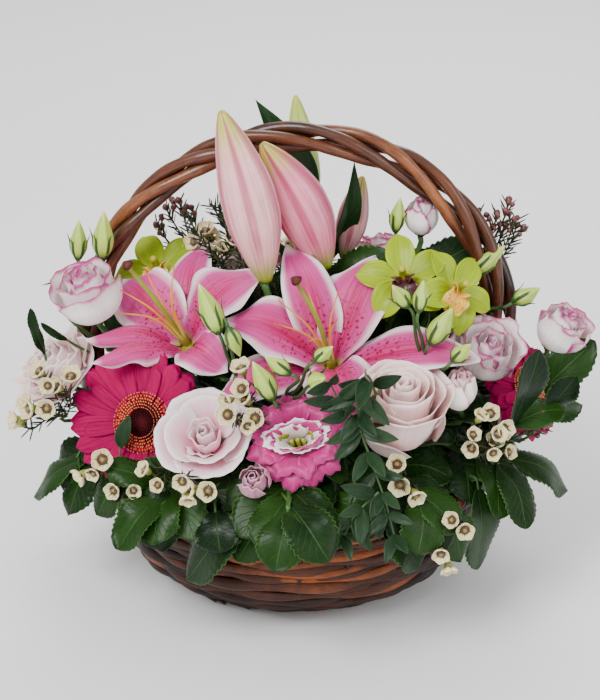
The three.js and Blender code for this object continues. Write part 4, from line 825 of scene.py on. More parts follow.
class GreenSettings(bpy.types.PropertyGroup):
    """Colours of leaves, stems and small flowers."""

    deep: shade_of("Deep leaf", "Darkest green of the broad leaves", (0.0022, 0.012, 0.0025))
    fresh: shade_of("Fresh leaf", "Lightest green of the broad leaves", (0.017, 0.06, 0.004))
    vein: shade_of("Vein", "Pale green of veins and margins", (0.07, 0.16, 0.035))
    stem: shade_of("Stem", "Green of stems", (0.045, 0.12, 0.02))
    wax: shade_of("Small flowers", "Cream of the waxflowers", (0.86, 0.76, 0.42))


class StageSettings(bpy.types.PropertyGroup):
    """The floor, the light and the camera."""

    floor: shade_of("Floor", "Colour of the plain floor", (0.93, 0.93, 0.93))
    light: FloatProperty(name="Light", description="Strength of the soft studio light", default=1.0,
                         min=0.1, max=5.0)
    distance: length_of("Distance", "From the camera to the middle of the flowers", 1.6, 0.5, 5.0)


# The basket


# Radius and height of the wall from its foot to the border
WALL = [(88, 0), (103, 9), (117, 18), (130, 27.5), (139, 39), (146, 56), (152, 76), (158, 99.5)]
WALL_STEPS = 200
RIM_RADIUS = 161.0
RIM_HEIGHT = 108.8
# Shades that a strip of the wall is drawn from, and how often each is
STRIP_SHADES = (0.15, 0.3, 0.45, 0.6, 0.95)
STRIP_ODDS = (0.26, 0.26, 0.24, 0.14, 0.1)
# Cut ends that stand out of the wall: where round it, how far up, how far along and how far out
CUT_ENDS = (
    (3.83, 0.1, 7, 2.4), (4.0, 0.02, 12, 8), (4.08, 0.05, 10, 7), (4.24, 0.0, 13, 8), (4.1, 0.13, 6, 2.4),
    (5.2, 0.07, 7, 2.4), (0.7, 0.06, 7, 2.4), (1.9, 0.1, 7, 2.4), (2.7, 0.05, 7, 2.4), (5.6, 0.16, 5, 2.4),
    (3.3, 0.2, 5, 2.4),
)
# Strip ends that lie loose at the foot of the wall, front left
LOOSE_ENDS = (
    ((-90, -58, 16), (-80, -75, 10), (-57, -91, 4)), ((-70, -80, 14), (-62, -88, 9), (-37, -98, 4)),
    ((-84, -66, 14), (-74, -82, 8), (-64, -88, 4.2)),
)
# The middle of the handle's four rods, and the shade of each rod
HOOP = [(161, 0, 103.8), (162.5, 0, 148)]
HOOP += [(165 * math.cos(k / 12 * math.pi), 0, 188 + 175 * math.sin(k / 12 * math.pi)) for k in range(13)]
HOOP += [(-162.5, 0, 148), (-161, 0, 103.8)]
ROD_SHADES = (0.62, 0.36, 0.82, 0.5)


def wall_at(share):
    """Radius and height of the wall at a share of the way up it."""
    fine = smooth(WALL, WALL_STEPS)
    steps = np.linspace(0, 1, WALL_STEPS)
    return np.interp(share, steps, fine[:, 0]), np.interp(share, steps, fine[:, 1])


def weave_lines(rng, rows, stakes, width):
    """The strips of the wall: rows that pass in and out of the stakes, two strips in a row, with a painted
    highlight on the front of the upper rows.
    """
    lines = []
    steps = 200
    tucked = 9
    count = np.arange(steps)
    tuck = 1 - np.minimum(1, np.minimum(count, count[::-1]) / tucked)
    slope = np.gradient(smooth(WALL, WALL_STEPS), axis=0)
    lean = np.arctan2(slope[:, 0], slope[:, 1])
    for row in range(rows):
        share = (row + 0.6) / rows
        for strand in range(2):
            turn = rng.uniform(0, TURN) + np.linspace(0, TURN * rng.uniform(0.94, 1.03), steps)
            wander = 0.012 * np.sin(turn * 3 + rng.uniform(0, TURN))
            wander = wander + 0.008 * np.sin(turn * 7 + rng.uniform(0, TURN))
            place = np.clip(share + wander + (strand - 0.5) * 0.022, 0.012, 0.985)
            radius, height = wall_at(place)
            height = np.maximum(height, width * 0.64)
            weave = np.sin(stakes / 2 * turn + (row + strand * 0.35) * math.pi)
            radius = radius + 0.2 + 2.0 * weave - 4.0 * tuck - strand * 1.6
            tilt = np.interp(place, np.linspace(0, 1, WALL_STEPS), lean)
            # Painted highlight: strips that face the front on the upper rows get a lighter tone, as if lit
            painted_highlight = np.exp(-(((turn % TURN) - 4.75) / 0.55) ** 2) * ease((share - 0.42) / 0.2)
            tone = rng.choice(STRIP_SHADES, p=STRIP_ODDS) + 0.7 * painted_highlight
            tone = tone + 0.12 * np.sin(turn * 5 + rng.uniform(0, TURN))
            thick = width / 2 * rng.uniform(0.62, 1.1) * (1 + 0.14 * np.sin(turn * 6 + rng.uniform(0, TURN)))
            lines.append({"points": ring_points(turn, radius, height), "thick": thick * (1 - 0.5 * tuck),
                          "tilt": -tilt, "shade": tone})
    return lines


def build_wall():
    """The woven wall on its stakes, with a few cut ends that stand out."""
    look = bpy.context.scene.basket_look
    rng = np.random.default_rng(11)
    lines = weave_lines(rng, look.rows, look.stakes, look.strip_width / MM)
    piece = Piece()
    strip = look.strip_thickness / look.strip_width * 1.15
    piece.taken(swept(lines, "willow", thickness=strip, upright=True, stretch=30.0))
    uprights = []
    for k in range(look.stakes):
        turn = k / look.stakes * TURN + rng.uniform(-0.02, 0.02)
        radius, height = wall_at(np.linspace(0.0, 1.0, 16))
        points = ring_points(turn, radius - 1.4, np.maximum(height, 2.8))
        uprights.append({"points": points, "thick": 2.3, "shade": rng.uniform(0.1, 0.5)})
    for turn, low, reach, outset in CUT_ENDS:
        radius, height = wall_at(low)
        out = around(turn)
        across = np.cross(UP, out)
        root = out * (radius - 3) + UP * (height + 3) - across * 14
        tip = out * (radius + outset) + across * reach + UP * (height + 1)
        tip[2] = max(tip[2], 3.2)
        uprights.append({"points": smooth([root, (root + tip) / 2 + out * 1.5, tip], 6), "thick": 2.2,
                         "shade": rng.uniform(0.4, 0.9)})
    for points in LOOSE_ENDS:
        uprights.append({"points": smooth(points, 8), "thick": 1.8, "shade": 0.4})
    piece.taken(swept(uprights, "willow", sides=7, stretch=10.0))
    settle(piece.made("woven_wall", "willow"), "split_willow", "basket_wall")


def build_base():
    """The round woven base: a coil of strips over crossed spokes, and its foot ring."""
    rng = np.random.default_rng(12)
    turns = 11
    inner = 9
    outer = 84
    spokes = 8
    turn = np.linspace(0, turns * TURN, turns * 44)
    coil = ring_points(turn, inner + (outer - inner) * turn / turn[-1], 4.0 + 0.9 * np.sin(turn * 8))
    lines = [{"points": coil, "thick": 2.9, "shade": 0.35 + 0.25 * np.sin(turn * 1.7)}]
    for k in range(spokes):
        out = around(k / spokes * math.pi)
        points = np.array([out * s + UP * 4.1 for s in np.linspace(-86, 86, 14)])
        lines.append({"points": points, "thick": 2.4, "shade": rng.uniform(0.1, 0.5)})
    turn = np.linspace(0, TURN, 120, endpoint=False)
    for k in range(2):
        swing = turn * 12 + k * math.pi
        points = ring_points(turn, 86.5 + 1.6 * np.sin(swing), 4.2 + 1.0 * np.cos(swing))
        lines.append({"points": points, "thick": 2.9, "shade": 0.3 + 0.3 * k, "ring": True})
    piece = Piece()
    piece.taken(swept(lines, "willow", sides=7, stretch=40.0))
    settle(piece.made("woven_base", "willow"), "split_willow", "basket_base")


def build_rim():
    """The border: rods coiled round each other over the ends of the stakes."""
    rods = 5
    coils = 15
    lines = []
    turn = np.linspace(0, TURN, 300, endpoint=False)
    for k in range(rods):
        swing = turn * coils + k * TURN / rods
        points = ring_points(turn, RIM_RADIUS + 8.6 * np.cos(swing), RIM_HEIGHT + 3.9 * np.sin(swing))
        lines.append({"points": points, "thick": 4.2, "shade": 0.2 + 0.16 * k, "ring": True})
    piece = Piece()
    piece.taken(swept(lines, "willow", stretch=60.0))
    settle(piece.made("coiled_rim", "willow"), "split_willow", "basket_rim")


def build_handle():
    """The handle: four glossy rods that twist round each other, looser on the right."""
    count = 260
    quarter_turns = 13
    middle = smooth(HOOP, count)
    share = np.linspace(0, 1, count)
    across = vec(0, 1, 0)
    outward = unit(np.cross(across, unit(np.gradient(middle, axis=0))))
    loose = 2.6 * np.maximum(0, np.sin(math.pi * np.minimum(1, share / 0.55)))
    lines = []
    for index, shade in enumerate(ROD_SHADES):
        angle = np.radians(45 + 90 * index + 90 * quarter_turns * share)[:, None]
        reach = (7.0 + loose * 0.8 + 0.5 * np.sin(share * 23 + index * 2))[:, None]
        knots = 1 + 0.05 * np.sin(share * 61 + index) + 0.04 * np.sin(share * 139 + 2 * index)
        lines.append({"points": middle + outward * reach * np.cos(angle) + across * reach * np.sin(angle),
                      "thick": bpy.context.scene.basket_look.rod_radius / MM * knots,
                      "shade": shade + 0.14 * np.sin(share * 17 + index)})
    piece = Piece()
    piece.taken(swept(lines, "rod", sides=12, stretch=26.0))
    settle(piece.made("handle_rods", "rod"), "varnished_rod",
           "handle_rod_1", "handle_rod_2", "handle_rod_3", "handle_rod_4")


def build_filling():
    """The liner film and the wet foam keep their solids and get their finish."""
    for node, slot in (("liner", "liner_film"), ("foam", "wet_foam")):
        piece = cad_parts[node]
        piece.data.materials.clear()
        piece.data.materials.append(MATERIALS[node])


# The floor, the lights and the camera


HALF_FLOOR = 6.0
# Name, place in metres, size and power of each lamp
LAMPS = (
    ("key", (-1.0, -1.5, 1.9), 1.1, 68.0),
    ("fill", (1.5, -1.3, 1.1), 1.4, 20.0),
    ("back", (0.3, 1.6, 1.7), 1.2, 30.0),
)
SKY_STRENGTH = 0.72
LENS_LENGTH = 120.0
CAMERA_TIP = math.radians(25.0)
CAMERA_SIDE = 0.0024
LOOKED_AT = 0.184


def build_stage():
    """A plain pale floor, soft lights and the camera."""
    look = bpy.context.scene.stage_look
    mesh = bpy.data.meshes.new("floor")
    corners = [(x * HALF_FLOOR, y * HALF_FLOOR, 0) for x, y in ((-1, -1), (1, -1), (1, 1), (-1, 1))]
    mesh.from_pydata(corners, [], [(0, 1, 2, 3)])
    floor = linked("floor", mesh)
    material = bpy.data.materials.new("floor_paper")
    material.use_nodes = True
    graph = Graph(material.node_tree)
    pale = graph.blend(graph.noise(graph.on_object(), 3.0), colour(look.floor),
                       colour([v * 0.98 for v in look.floor]))
    shader = material.node_tree.nodes["Principled BSDF"].inputs
    graph.feed(shader["Base Color"], pale)
    graph.feed(shader["Roughness"], 0.9)
    mesh.materials.append(material)
    world = bpy.data.worlds.new("studio")
    world.use_nodes = True
    bpy.context.scene.world = world
    sky = world.node_tree.nodes["Background"].inputs
    sky["Color"].default_value = (1.0, 1.0, 1.0, 1.0)
    sky["Strength"].default_value = SKY_STRENGTH * look.light
    for name, place, size, power in LAMPS:
        lamp = bpy.data.lights.new(name, "AREA")
        lamp.energy = power * look.light
        lamp.size = size
        made = linked(name, lamp)
        made.location = place
        aim = Vector((0.0, 0.0, 0.2)) - made.location
        made.rotation_euler = aim.to_track_quat("-Z", "Y").to_euler()
    lens = bpy.data.cameras.new("camera")
    lens.sensor_fit = "HORIZONTAL"
    lens.sensor_width = 36.0
    lens.lens = LENS_LENGTH
    view = linked("camera", lens)
    view.location = (CAMERA_SIDE, -look.distance * math.cos(CAMERA_TIP),
                     LOOKED_AT + look.distance * math.sin(CAMERA_TIP))
    view.rotation_euler = (math.radians(90.0) - CAMERA_TIP, 0.0, 0.0)
    bpy.context.scene.camera = view


# Finishes


def make_willow():
    """Finishes of the basket, the handle and the filling."""
    look = bpy.context.scene.basket_look
    finish("willow", "split_willow", "Willow grain", dark=look.dark, warm=look.warm, light=look.light,
           rough=None, bump=0.8, depth=0.0007, coat=0.05, coat_rough=0.3, specular=0.22)
    finish("rod", "varnished_rod", "Willow grain", dark=(0.016, 0.005, 0.003), warm=(0.12, 0.034, 0.013),
           light=(0.42, 0.145, 0.045), gloss=0.2, rough=None, bump=0.5, depth=0.0005, coat=0.4,
           coat_rough=0.16, specular=0.3)
    finish("liner", "liner_film", "Willow grain", dark=(0.008, 0.012, 0.006), warm=(0.02, 0.03, 0.014),
           light=(0.05, 0.06, 0.03), gloss=0.25, rough=None, bump=0.4, depth=0.0008)
    finish("foam", "wet_foam", "Bud skin", base=(0.012, 0.05, 0.02), body=(0.015, 0.07, 0.025),
           tip=(0.02, 0.08, 0.03), rib=(0.01, 0.03, 0.01), streaks=0.6, tone=0.6, rough=0.9, bump=1.0,
           depth=0.002)


def make_lily_finishes():
    """Finishes of the lilies and their buds."""
    look = bpy.context.scene.lily_look
    finish("lily", "lily_petal", "Petal tint", heart=(0.5, 0.6, 0.12), blade=look.blade, edge=look.edge,
           midrib=look.midrib, heart_reach=0.1, edge_width=0.36, midrib_width=0.66, midrib_strength=1.0,
           streaks=0.25, streak_count=30.0, tone=0.14, edge_break=0.16, bump=0.5, depth=0.0007, soft=0.12,
           specular=0.3, spots=dict(spot=look.spot, across=12.0, along=30.0, size=0.4, reach=0.66, band=0.8,
                                    strength=0.95))
    finish("throat", "lily_throat", "Bud skin", base=(0.14, 0.24, 0.01), body=(0.26, 0.32, 0.015),
           tip=(0.5, 0.46, 0.05), tone=0.4, rough=0.4, soft=0.1)
    finish("filament", "lily_filament", "Bud skin", base=(0.55, 0.6, 0.12), body=(0.8, 0.36, 0.02),
           tip=(0.66, 0.1, 0.01), base_reach=0.5, tone=0.2, rough=0.45, soft=0.1)
    finish("style", "lily_style", "Bud skin", base=(0.5, 0.55, 0.08), body=(0.26, 0.34, 0.03),
           tip=(0.2, 0.16, 0.02), rough=0.35, coat=0.2)
    finish("stigma", "lily_stigma", "Bud skin", base=(0.12, 0.1, 0.02), body=(0.09, 0.02, 0.014),
           tip=(0.13, 0.03, 0.02), rib_count=3.0, rib=(0.03, 0.005, 0.008), rib_strength=0.8, specular=0.2)
    for name, body, rib, strength in (
        ("bud_blush", look.bud, (0.5, 0.1, 0.17), 0.85),
        ("bud_rose", (0.78, 0.26, 0.36), (0.42, 0.025, 0.11), 0.85),
        ("bud_green", (0.55, 0.64, 0.2), (0.3, 0.45, 0.06), 0.5),
    ):
        finish(name, "lily_" + name, "Bud skin", base=(0.26, 0.38, 0.01), body=body, tip=(0.5, 0.56, 0.05),
               rib=rib, base_reach=0.24, tip_start=0.7, rib_strength=strength, streaks=0.5, tone=0.05,
               rough=0.38, bump=0.35, depth=0.0006, soft=0.1, coat=0.12)


def make_gerbera_finishes():
    """Finishes of the gerberas and the orchids."""
    look = bpy.context.scene.bloom_look
    finish("ray", "gerbera_ray", "Petal tint", heart=(0.22, 0.0, 0.04), blade=look.gerbera,
           edge=(0.46, 0.0, 0.13), midrib=(0.26, 0.0, 0.04), heart_reach=0.45, edge_width=0.5,
           edge_strength=0.35, midrib_width=0.25, midrib_strength=0.35, streaks=0.35, streak_count=11.0,
           tone=0.35, rough=0.65, bump=0.7, depth=0.0005, specular=0.08)
    finish("fringe", "gerbera_fringe", "Bud skin", base=(0.1, 0.0, 0.006), body=(0.46, 0.012, 0.012),
           tip=(0.88, 0.46, 0.22), base_reach=0.3, tip_start=0.72, streaks=0.1, rough=0.6, specular=0.2)
    finish("disc", "gerbera_disc", "Bud skin", base=(0.006, 0.001, 0.002), body=(0.014, 0.001, 0.003),
           tip=(0.06, 0.004, 0.006), tip_start=0.7, tone=0.5, rough=0.8, specular=0.1)
    finish("orchid", "orchid_tepal", "Petal tint", heart=(0.55, 0.55, 0.05), blade=look.orchid,
           edge=(0.34, 0.46, 0.0), midrib=(0.16, 0.27, 0.0), edge_width=0.4, edge_strength=0.6,
           midrib_width=0.12, midrib_strength=0.5, streaks=0.25, streak_count=16.0, tone=0.25, rough=0.4,
           bump=0.3, depth=0.0005, soft=0.05, coat=0.05, specular=0.25)
    finish("lip_maroon", "orchid_lip_maroon", "Petal tint", heart=(0.45, 0.2, 0.03),
           blade=(0.05, 0.001, 0.006), edge=(0.14, 0.01, 0.02), midrib=(0.03, 0.0, 0.004), edge_width=0.16,
           streaks=0.5, tone=0.3, rough=0.4, coat=0.2)
    finish("lip_gold", "orchid_lip_gold", "Petal tint", heart=(0.75, 0.36, 0.01), blade=(0.8, 0.44, 0.03),
           edge=(0.84, 0.6, 0.1), midrib=(0.4, 0.1, 0.02), heart_reach=0.5, edge_width=0.3, streaks=0.4,
           rough=0.4, coat=0.2, spots=dict(spot=(0.35, 0.02, 0.02), across=8.0, along=10.0, size=0.34,
                                           reach=1.0, band=1.0, strength=0.8))


def make_rose_finishes():
    """Finishes of the roses and the lisianthus."""
    look = bpy.context.scene.bloom_look
    for name, heart, blade, edge, midrib, streaks, reach, width in (
        ("blush", (0.9, 0.45, 0.42), look.blush, (0.98, 0.84, 0.8), (0.8, 0.25, 0.3), 0.12, 0.6, 0.3),
        ("white", (0.78, 0.1, 0.3), (0.95, 0.66, 0.72), (0.97, 0.93, 0.9), (0.8, 0.2, 0.4), 0.1, 0.85, 0.45),
        ("mauve", (0.6, 0.25, 0.3), (0.6, 0.25, 0.36), (0.8, 0.5, 0.6), (0.4, 0.06, 0.16), 0.3, 0.6, 0.3),
        ("ivory", (0.86, 0.6, 0.5), (0.93, 0.72, 0.7), (0.96, 0.86, 0.85), (0.85, 0.35, 0.38),
         0.15, 0.6, 0.3),
    ):
        finish(name, "rose_" + name, "Petal tint", heart=heart, blade=blade, edge=edge, midrib=midrib,
               heart_reach=reach, edge_width=width, edge_strength=0.8, midrib_width=0.5, midrib_strength=0.12,
               streaks=streaks, streak_count=22.0, tone=0.16, bump=0.25, depth=0.0005, soft=0.15, sheen=0.25)
    for name, blade, edge, width, strength, streaks in (
        ("lisianthus_pink", look.lisianthus, (0.72, 0.12, 0.36), 0.14, 0.6, 0.3),
        ("lisianthus_edged", (0.97, 0.9, 0.88), look.frill, 0.34, 1.0, 0.1),
        ("lisianthus_white", (0.95, 0.88, 0.8), (0.7, 0.1, 0.26), 0.2, 0.9, 0.1),
        ("lisianthus_ring", (0.95, 0.84, 0.85), (0.93, 0.6, 0.72), 0.1, 0.6, 0.1),
    ):
        finish(name, name, "Petal tint", heart=(0.92, 0.86, 0.7), blade=blade, edge=edge, midrib=look.frill,
               edge_width=width, edge_strength=strength, midrib_width=0.4, midrib_strength=0.1,
               streaks=streaks, streak_count=34.0, tone=0.12, edge_break=0.5, bump=0.35, depth=0.0005,
               soft=0.12, sheen=0.2)


def make_green_finishes():
    """Finishes of buds, stems, leaves and the small flowers."""
    look = bpy.context.scene.green_look
    finish("lime", "bud_lime", "Bud skin", base=(0.2, 0.34, 0.03), body=(0.46, 0.6, 0.1),
           tip=(0.72, 0.74, 0.24), rib=(0.24, 0.38, 0.03), rib_count=5.0, rib_strength=0.5, streaks=0.25,
           rough=0.42, bump=0.3, soft=0.1)
    finish("stem", "stem_green", "Bud skin", base=look.stem, body=look.stem, tip=(0.03, 0.09, 0.015),
           rib=(0.016, 0.04, 0.008), rib_count=7.0, rib_strength=0.3, streaks=0.4, tone=0.7, rough=0.45,
           bump=0.3, depth=0.0003)
    finish("sepal", "sepal_green", "Leaf veins", deep=(0.014, 0.05, 0.008), fresh=(0.06, 0.14, 0.02),
           vein=(0.1, 0.2, 0.05), vein_strength=0.2)
    finish("twig", "waxflower_twig", "Bud skin", base=(0.04, 0.025, 0.01), body=(0.04, 0.04, 0.012),
           tip=(0.08, 0.06, 0.02), rib=(0.015, 0.01, 0.004), streaks=0.5, tone=0.6, rough=0.7, bump=0.4)
    finish("wax", "waxflower_cream", "Petal tint", heart=(0.3, 0.2, 0.04), blade=look.wax,
           edge=(0.92, 0.86, 0.6), midrib=(0.4, 0.2, 0.08), heart_reach=0.42, edge_width=0.4,
           streak_count=9.0, tone=0.3, rough=0.4, soft=0.08, coat=0.1)
    finish("wax_heart", "waxflower_heart", "Bud skin", base=(0.05, 0.02, 0.008), body=(0.05, 0.018, 0.008),
           tip=(0.24, 0.19, 0.035), tip_start=0.66, tone=0.5, rough=0.35, coat=0.3)
    finish("wax_cup", "waxflower_cup", "Bud skin", base=(0.1, 0.14, 0.015), body=(0.28, 0.3, 0.05),
           tip=(0.5, 0.42, 0.14), tone=0.5, rough=0.45)
    finish("berry", "waxflower_bud", "Bud skin", base=(0.05, 0.03, 0.01), body=(0.1, 0.02, 0.016),
           tip=(0.16, 0.035, 0.03), tone=0.7, rough=0.4, coat=0.2)
    finish("needle", "waxflower_needle", "Bud skin", base=(0.02, 0.04, 0.01), body=(0.009, 0.028, 0.008),
           tip=(0.03, 0.05, 0.01), tone=0.8, rough=0.45)
    for name, deep, fresh, vein, strength, count in (
        ("leaf", look.deep, look.fresh, look.vein, 0.55, 9.0),
        ("myrtle", (0.01, 0.028, 0.012), (0.03, 0.065, 0.025), (0.07, 0.12, 0.05), 0.4, 3.0),
        ("lance", (0.006, 0.026, 0.006), (0.026, 0.08, 0.016), (0.04, 0.12, 0.03), 0.25, 3.0),
    ):
        finish(name, "leaf_" + name, "Leaf veins", deep=deep, fresh=fresh, vein=vein, vein_strength=strength,
               vein_count=count, rough=None, bump=0.55, depth=0.0006, coat=0.03, coat_rough=0.3,
               specular=0.14)


# Stems are gathered while the flowers are made, and swept together at the end


STEMS = []
# Middle and radius of each flower, which loose leaves keep clear of
FLOWERS = [(vec(-38, -150, 166), 13.0)]
# The foam: the widest reach of a stem in it, its top and how it falls off towards its side
FOAM_REACH = 100.0
FOAM_TOP = 138.0
FOAM_SHOULDER = 90.0
FOAM_FALL = 0.91


def add_stem(points, radius, count=18, shade=0.5):
    """One stretch of stem along points."""
    STEMS.append({"points": smooth(points, count), "thick": radius * np.linspace(1.0, 1.12, count),
                  "shade": shade})


def root_stem(head, leave, radius, run=16.0, inset=0.5, shade=0.5):
    """A stem from the back of a flower down into the wet foam."""
    head = vec(*head)
    reach = min(FOAM_REACH, max(4.0, math.hypot(head[0], head[1]) * inset))
    top = FOAM_TOP - max(0.0, reach - FOAM_SHOULDER) * FOAM_FALL
    entry = around(math.atan2(head[1], head[0])) * reach + UP * top
    outward = unit(entry - vec(0, 0, 18))
    points = [head, head + unit(leave) * run, entry + outward * 14, entry + outward * 4, entry - outward * 20]
    add_stem(points, radius, 24, shade)


# Lilies


# Each petal of the open lilies: its angle, and the reach and rise of its tip per length
FRONT_PETALS = ((58, 0.77, 0.46), (107, 0.72, 0.68), (162, 0.72, 0.5), (205, 0.9, 0.24), (278, 0.56, 0.16),
                (350, 1.03, 0.4))
LEFT_PETALS = ((22, 0.82, 0.36), (72, 0.88, 0.38), (120, 0.82, 0.42), (300, 0.56, 0.2))
# The two curled petals of the left one: angle, middle, tip and width
CURLED_PETALS = (
    (172, (-120, -60, 228), (-160, -72, 226), 36),
    (205, (-120, -74, 222), (-155, -94, 216), 32),
)
LILY_BUD = [(0, 4.5), (0.06, 7.5), (0.14, 11), (0.34, 17.6), (0.55, 18.3), (0.78, 12.8), (0.93, 6.6),
            (1, 2.4)]
# Where the stems of a lily part
FRONT_FORK = vec(4, -34, 176)
BACK_FORK = vec(22, 34, 196)
# Lance leaves of the stem behind: root, tip, width, the way the face turns and shade
LANCES = (
    ((14, 42, 276), (-32, 40, 380), 36, (0.6, -0.8, 0.2), 0.2),
    ((27, 36, 248), (45, 26, 335), 21, (0.5, -0.8, 0.0), 0.35),
    ((36, 36, 214), (104, 18, 264), 26, (0.1, -0.5, 0.9), 0.1),
    ((34, 34, 200), (80, 30, 236), 22, (0.1, -0.6, 0.8), 0.3),
    ((18, 40, 214), (-40, 60, 262), 22, (-0.1, 0.6, 0.8), 0.4),
    ((24, 38, 206), (10, 92, 254), 24, (0.1, 0.7, 0.7), 0.2),
)


def lily_bloom(node, centre, facing, petals, length, seed, curled=()):
    """Pointed petals round a green throat, every other one broad."""
    rng = np.random.default_rng(seed)
    bloom = Bloom(centre, facing)
    FLOWERS.append((bloom.along(length * 0.3), length * 0.42))
    piece = Piece()
    for i, (angle, reach, rise) in enumerate(petals):
        low, bend, width, wave = ((2, max(0.42, rise * 0.8), 42, 2.0) if i % 2
                                  else (8, max(0.5, rise * 0.85), 55, 3.4))
        spine = bow(bloom, angle, (4, low), (length * reach * 0.42, length * bend),
                    (length * reach, length * rise), sag=8, sway=rng.uniform(-6, 6))
        grid = petal_grid(spine, bloom.axis, width, "lily", rows=36, cols=17, bend=0.6, roll=-0.95, wave=wave,
                          waves=2.3, phase=i * 1.3, ridge=2.2)
        piece.sheet(grid, 1.1, shade=rng.uniform(0.25, 0.75))
    for angle, middle, tip, width in curled:
        grid = petal_grid([bloom.at(angle, 4, 4), middle, tip], (-0.1, -0.45, 0.9), width, "lily", rows=34,
                          cols=17, bend=-0.5, roll=-1.9, wave=2.6, waves=2.6, phase=angle, ridge=1.6)
        piece.sheet(grid, 1.1, shade=rng.uniform(0.25, 0.75))
    piece.bud(bloom.along(-1), bloom.along(10), [(0, 5), (0.5, 6.4), (1, 1.5)], sides=12, rows=10, ribs=6,
              depth=0.08, material=1)
    settle(piece.made(node, "lily", "throat"), "lily_petal", node)
    return bloom


def lily_stamens(node, bloom, sweep):
    """Six bowed filaments and one thick style with a lobed stigma."""
    rng = np.random.default_rng(5)
    seat = Bloom(bloom.along(12), bloom.axis)
    sweep = vec(*sweep)
    piece = Piece()
    piece.bud(seat.along(-3), seat.along(13), [(0, 3.0), (0.5, 3.6), (1, 1.6)], sides=12, rows=9, ribs=6,
              depth=0.1, material=1)
    for angle in range(30, 390, 60):
        end = seat.along(56 + rng.uniform(-4, 4)) + seat.out(angle) * (27 + rng.uniform(-3, 3)) + sweep * 2.4
        line = smooth([seat.at(angle, 2, 3), seat.at(angle, 9, 36) + sweep, end], 18)
        piece.rod(line, np.linspace(1.15, 0.42, 18), 8, rng.uniform(0.3, 0.7))
    bend = seat.along(46) + sweep
    top = seat.along(84) + sweep * 3.2
    piece.rod(smooth([seat.centre, bend, top], 24), np.linspace(2.0, 1.6, 24), 10, material=1)
    heading = unit(top - bend)
    piece.bud(top - heading * 1.5, top + heading * 4.6, [(0, 1.6), (0.35, 3.6), (0.75, 4.2), (1, 1.8)],
              sides=18, rows=10, ribs=3, depth=0.16, material=2)
    settle(piece.made(node, "filament", "style", "stigma"), "lily_style", node)


def lily_bud(piece, base, tip, girth, shade=0.5, bow_by=(0, 0, 0), material=0):
    """A long closed bud with three raised ribs."""
    profile = [(share, radius * girth) for share, radius in LILY_BUD]
    piece.bud(base, tip, profile, sides=36, rows=40, ribs=3, depth=0.07, twist=0.1, shade=shade, bow=bow_by,
              material=material)


def build_lilies():
    """The two open lilies with their stamens and stems."""
    front = lily_bloom("lily_bloom_front", (27, -62, 193), (-0.08, -0.45, 0.89), FRONT_PETALS, 112, 21)
    left = lily_bloom("lily_bloom_left", (-82, -46, 205), (-0.34, -0.42, 0.84), LEFT_PETALS, 94, 22,
                      CURLED_PETALS)
    lily_stamens("lily_stamens_front", front, (-6, 2, 2))
    lily_stamens("lily_stamens_left", left, (-3, 0, 2))
    add_stem([front.centre, front.along(-10), FRONT_FORK], 3.0)
    root_stem(left.centre, -left.axis, 3.0)


def build_lily_buds():
    """Closed buds, and the stems and lance leaves that carry them."""
    for name, finish_key, base, tip, girth, bow_by in (
        ("lily_bud_tall", "bud_blush", (-24, -46, 264), (-55, -50, 400), 1.12, (4, 0, 0)),
        ("lily_bud_leaning", "bud_rose", (22, -20, 264), (-26, -26, 367), 1.14, (5, 0, 3)),
    ):
        piece = Piece()
        lily_bud(piece, base, tip, girth, bow_by=bow_by)
        settle(piece.made(name, finish_key), "lily_" + finish_key, name)
    add_stem([(-25, -46, 262), (-16, -44, 232), FRONT_FORK], 2.8)
    add_stem([(20, -22, 266), (16, -26, 232), FRONT_FORK], 2.8)
    root_stem(FRONT_FORK, (-0.1, 0.2, -1), 3.6)
    back = Piece()
    lily_bud(back, (12, 48, 280), (-1, 56, 378), 0.64)
    lily_bud(back, (37, 36, 249), (52, 42, 316), 0.66, 0.6, material=1)
    add_stem([(12, 48, 281), (16, 42, 240), BACK_FORK], 2.4)
    add_stem([(37, 36, 250), (34, 35, 222), BACK_FORK], 2.4)
    root_stem(BACK_FORK, (-0.1, 0.1, -1), 3.4)
    for root, tip, width, up, shade in LANCES:
        middle = (vec(*root) + vec(*tip)) / 2 + unit(up) * 9
        grid = petal_grid([root, middle, tip], up, width, "lance", rows=26, cols=9, bend=0.7, wave=1.0,
                          waves=1.5, ridge=1.6)
        back.sheet(grid, 0.9, shade=shade, material=2)
    settle(back.made("lily_stem_back", "bud_green", "bud_blush", "lance"), "stem_green", "lily_stem_back")


# Gerberas and orchids


# Layers of rays: their number, reach, lift at the root, lift of the tip and width
RAY_LAYERS = ((22, 1.0, 0.0, -3.0, 15.5), (20, 0.96, 1.4, 0.0, 14.5), (9, 0.8, 2.6, 3.0, 10.5))
RAY_RADIUS = 51
FRINGE_RINGS = 6
FLORETS = 110
# Share of the radius that the dark middle of the disc takes
DISC = 0.2


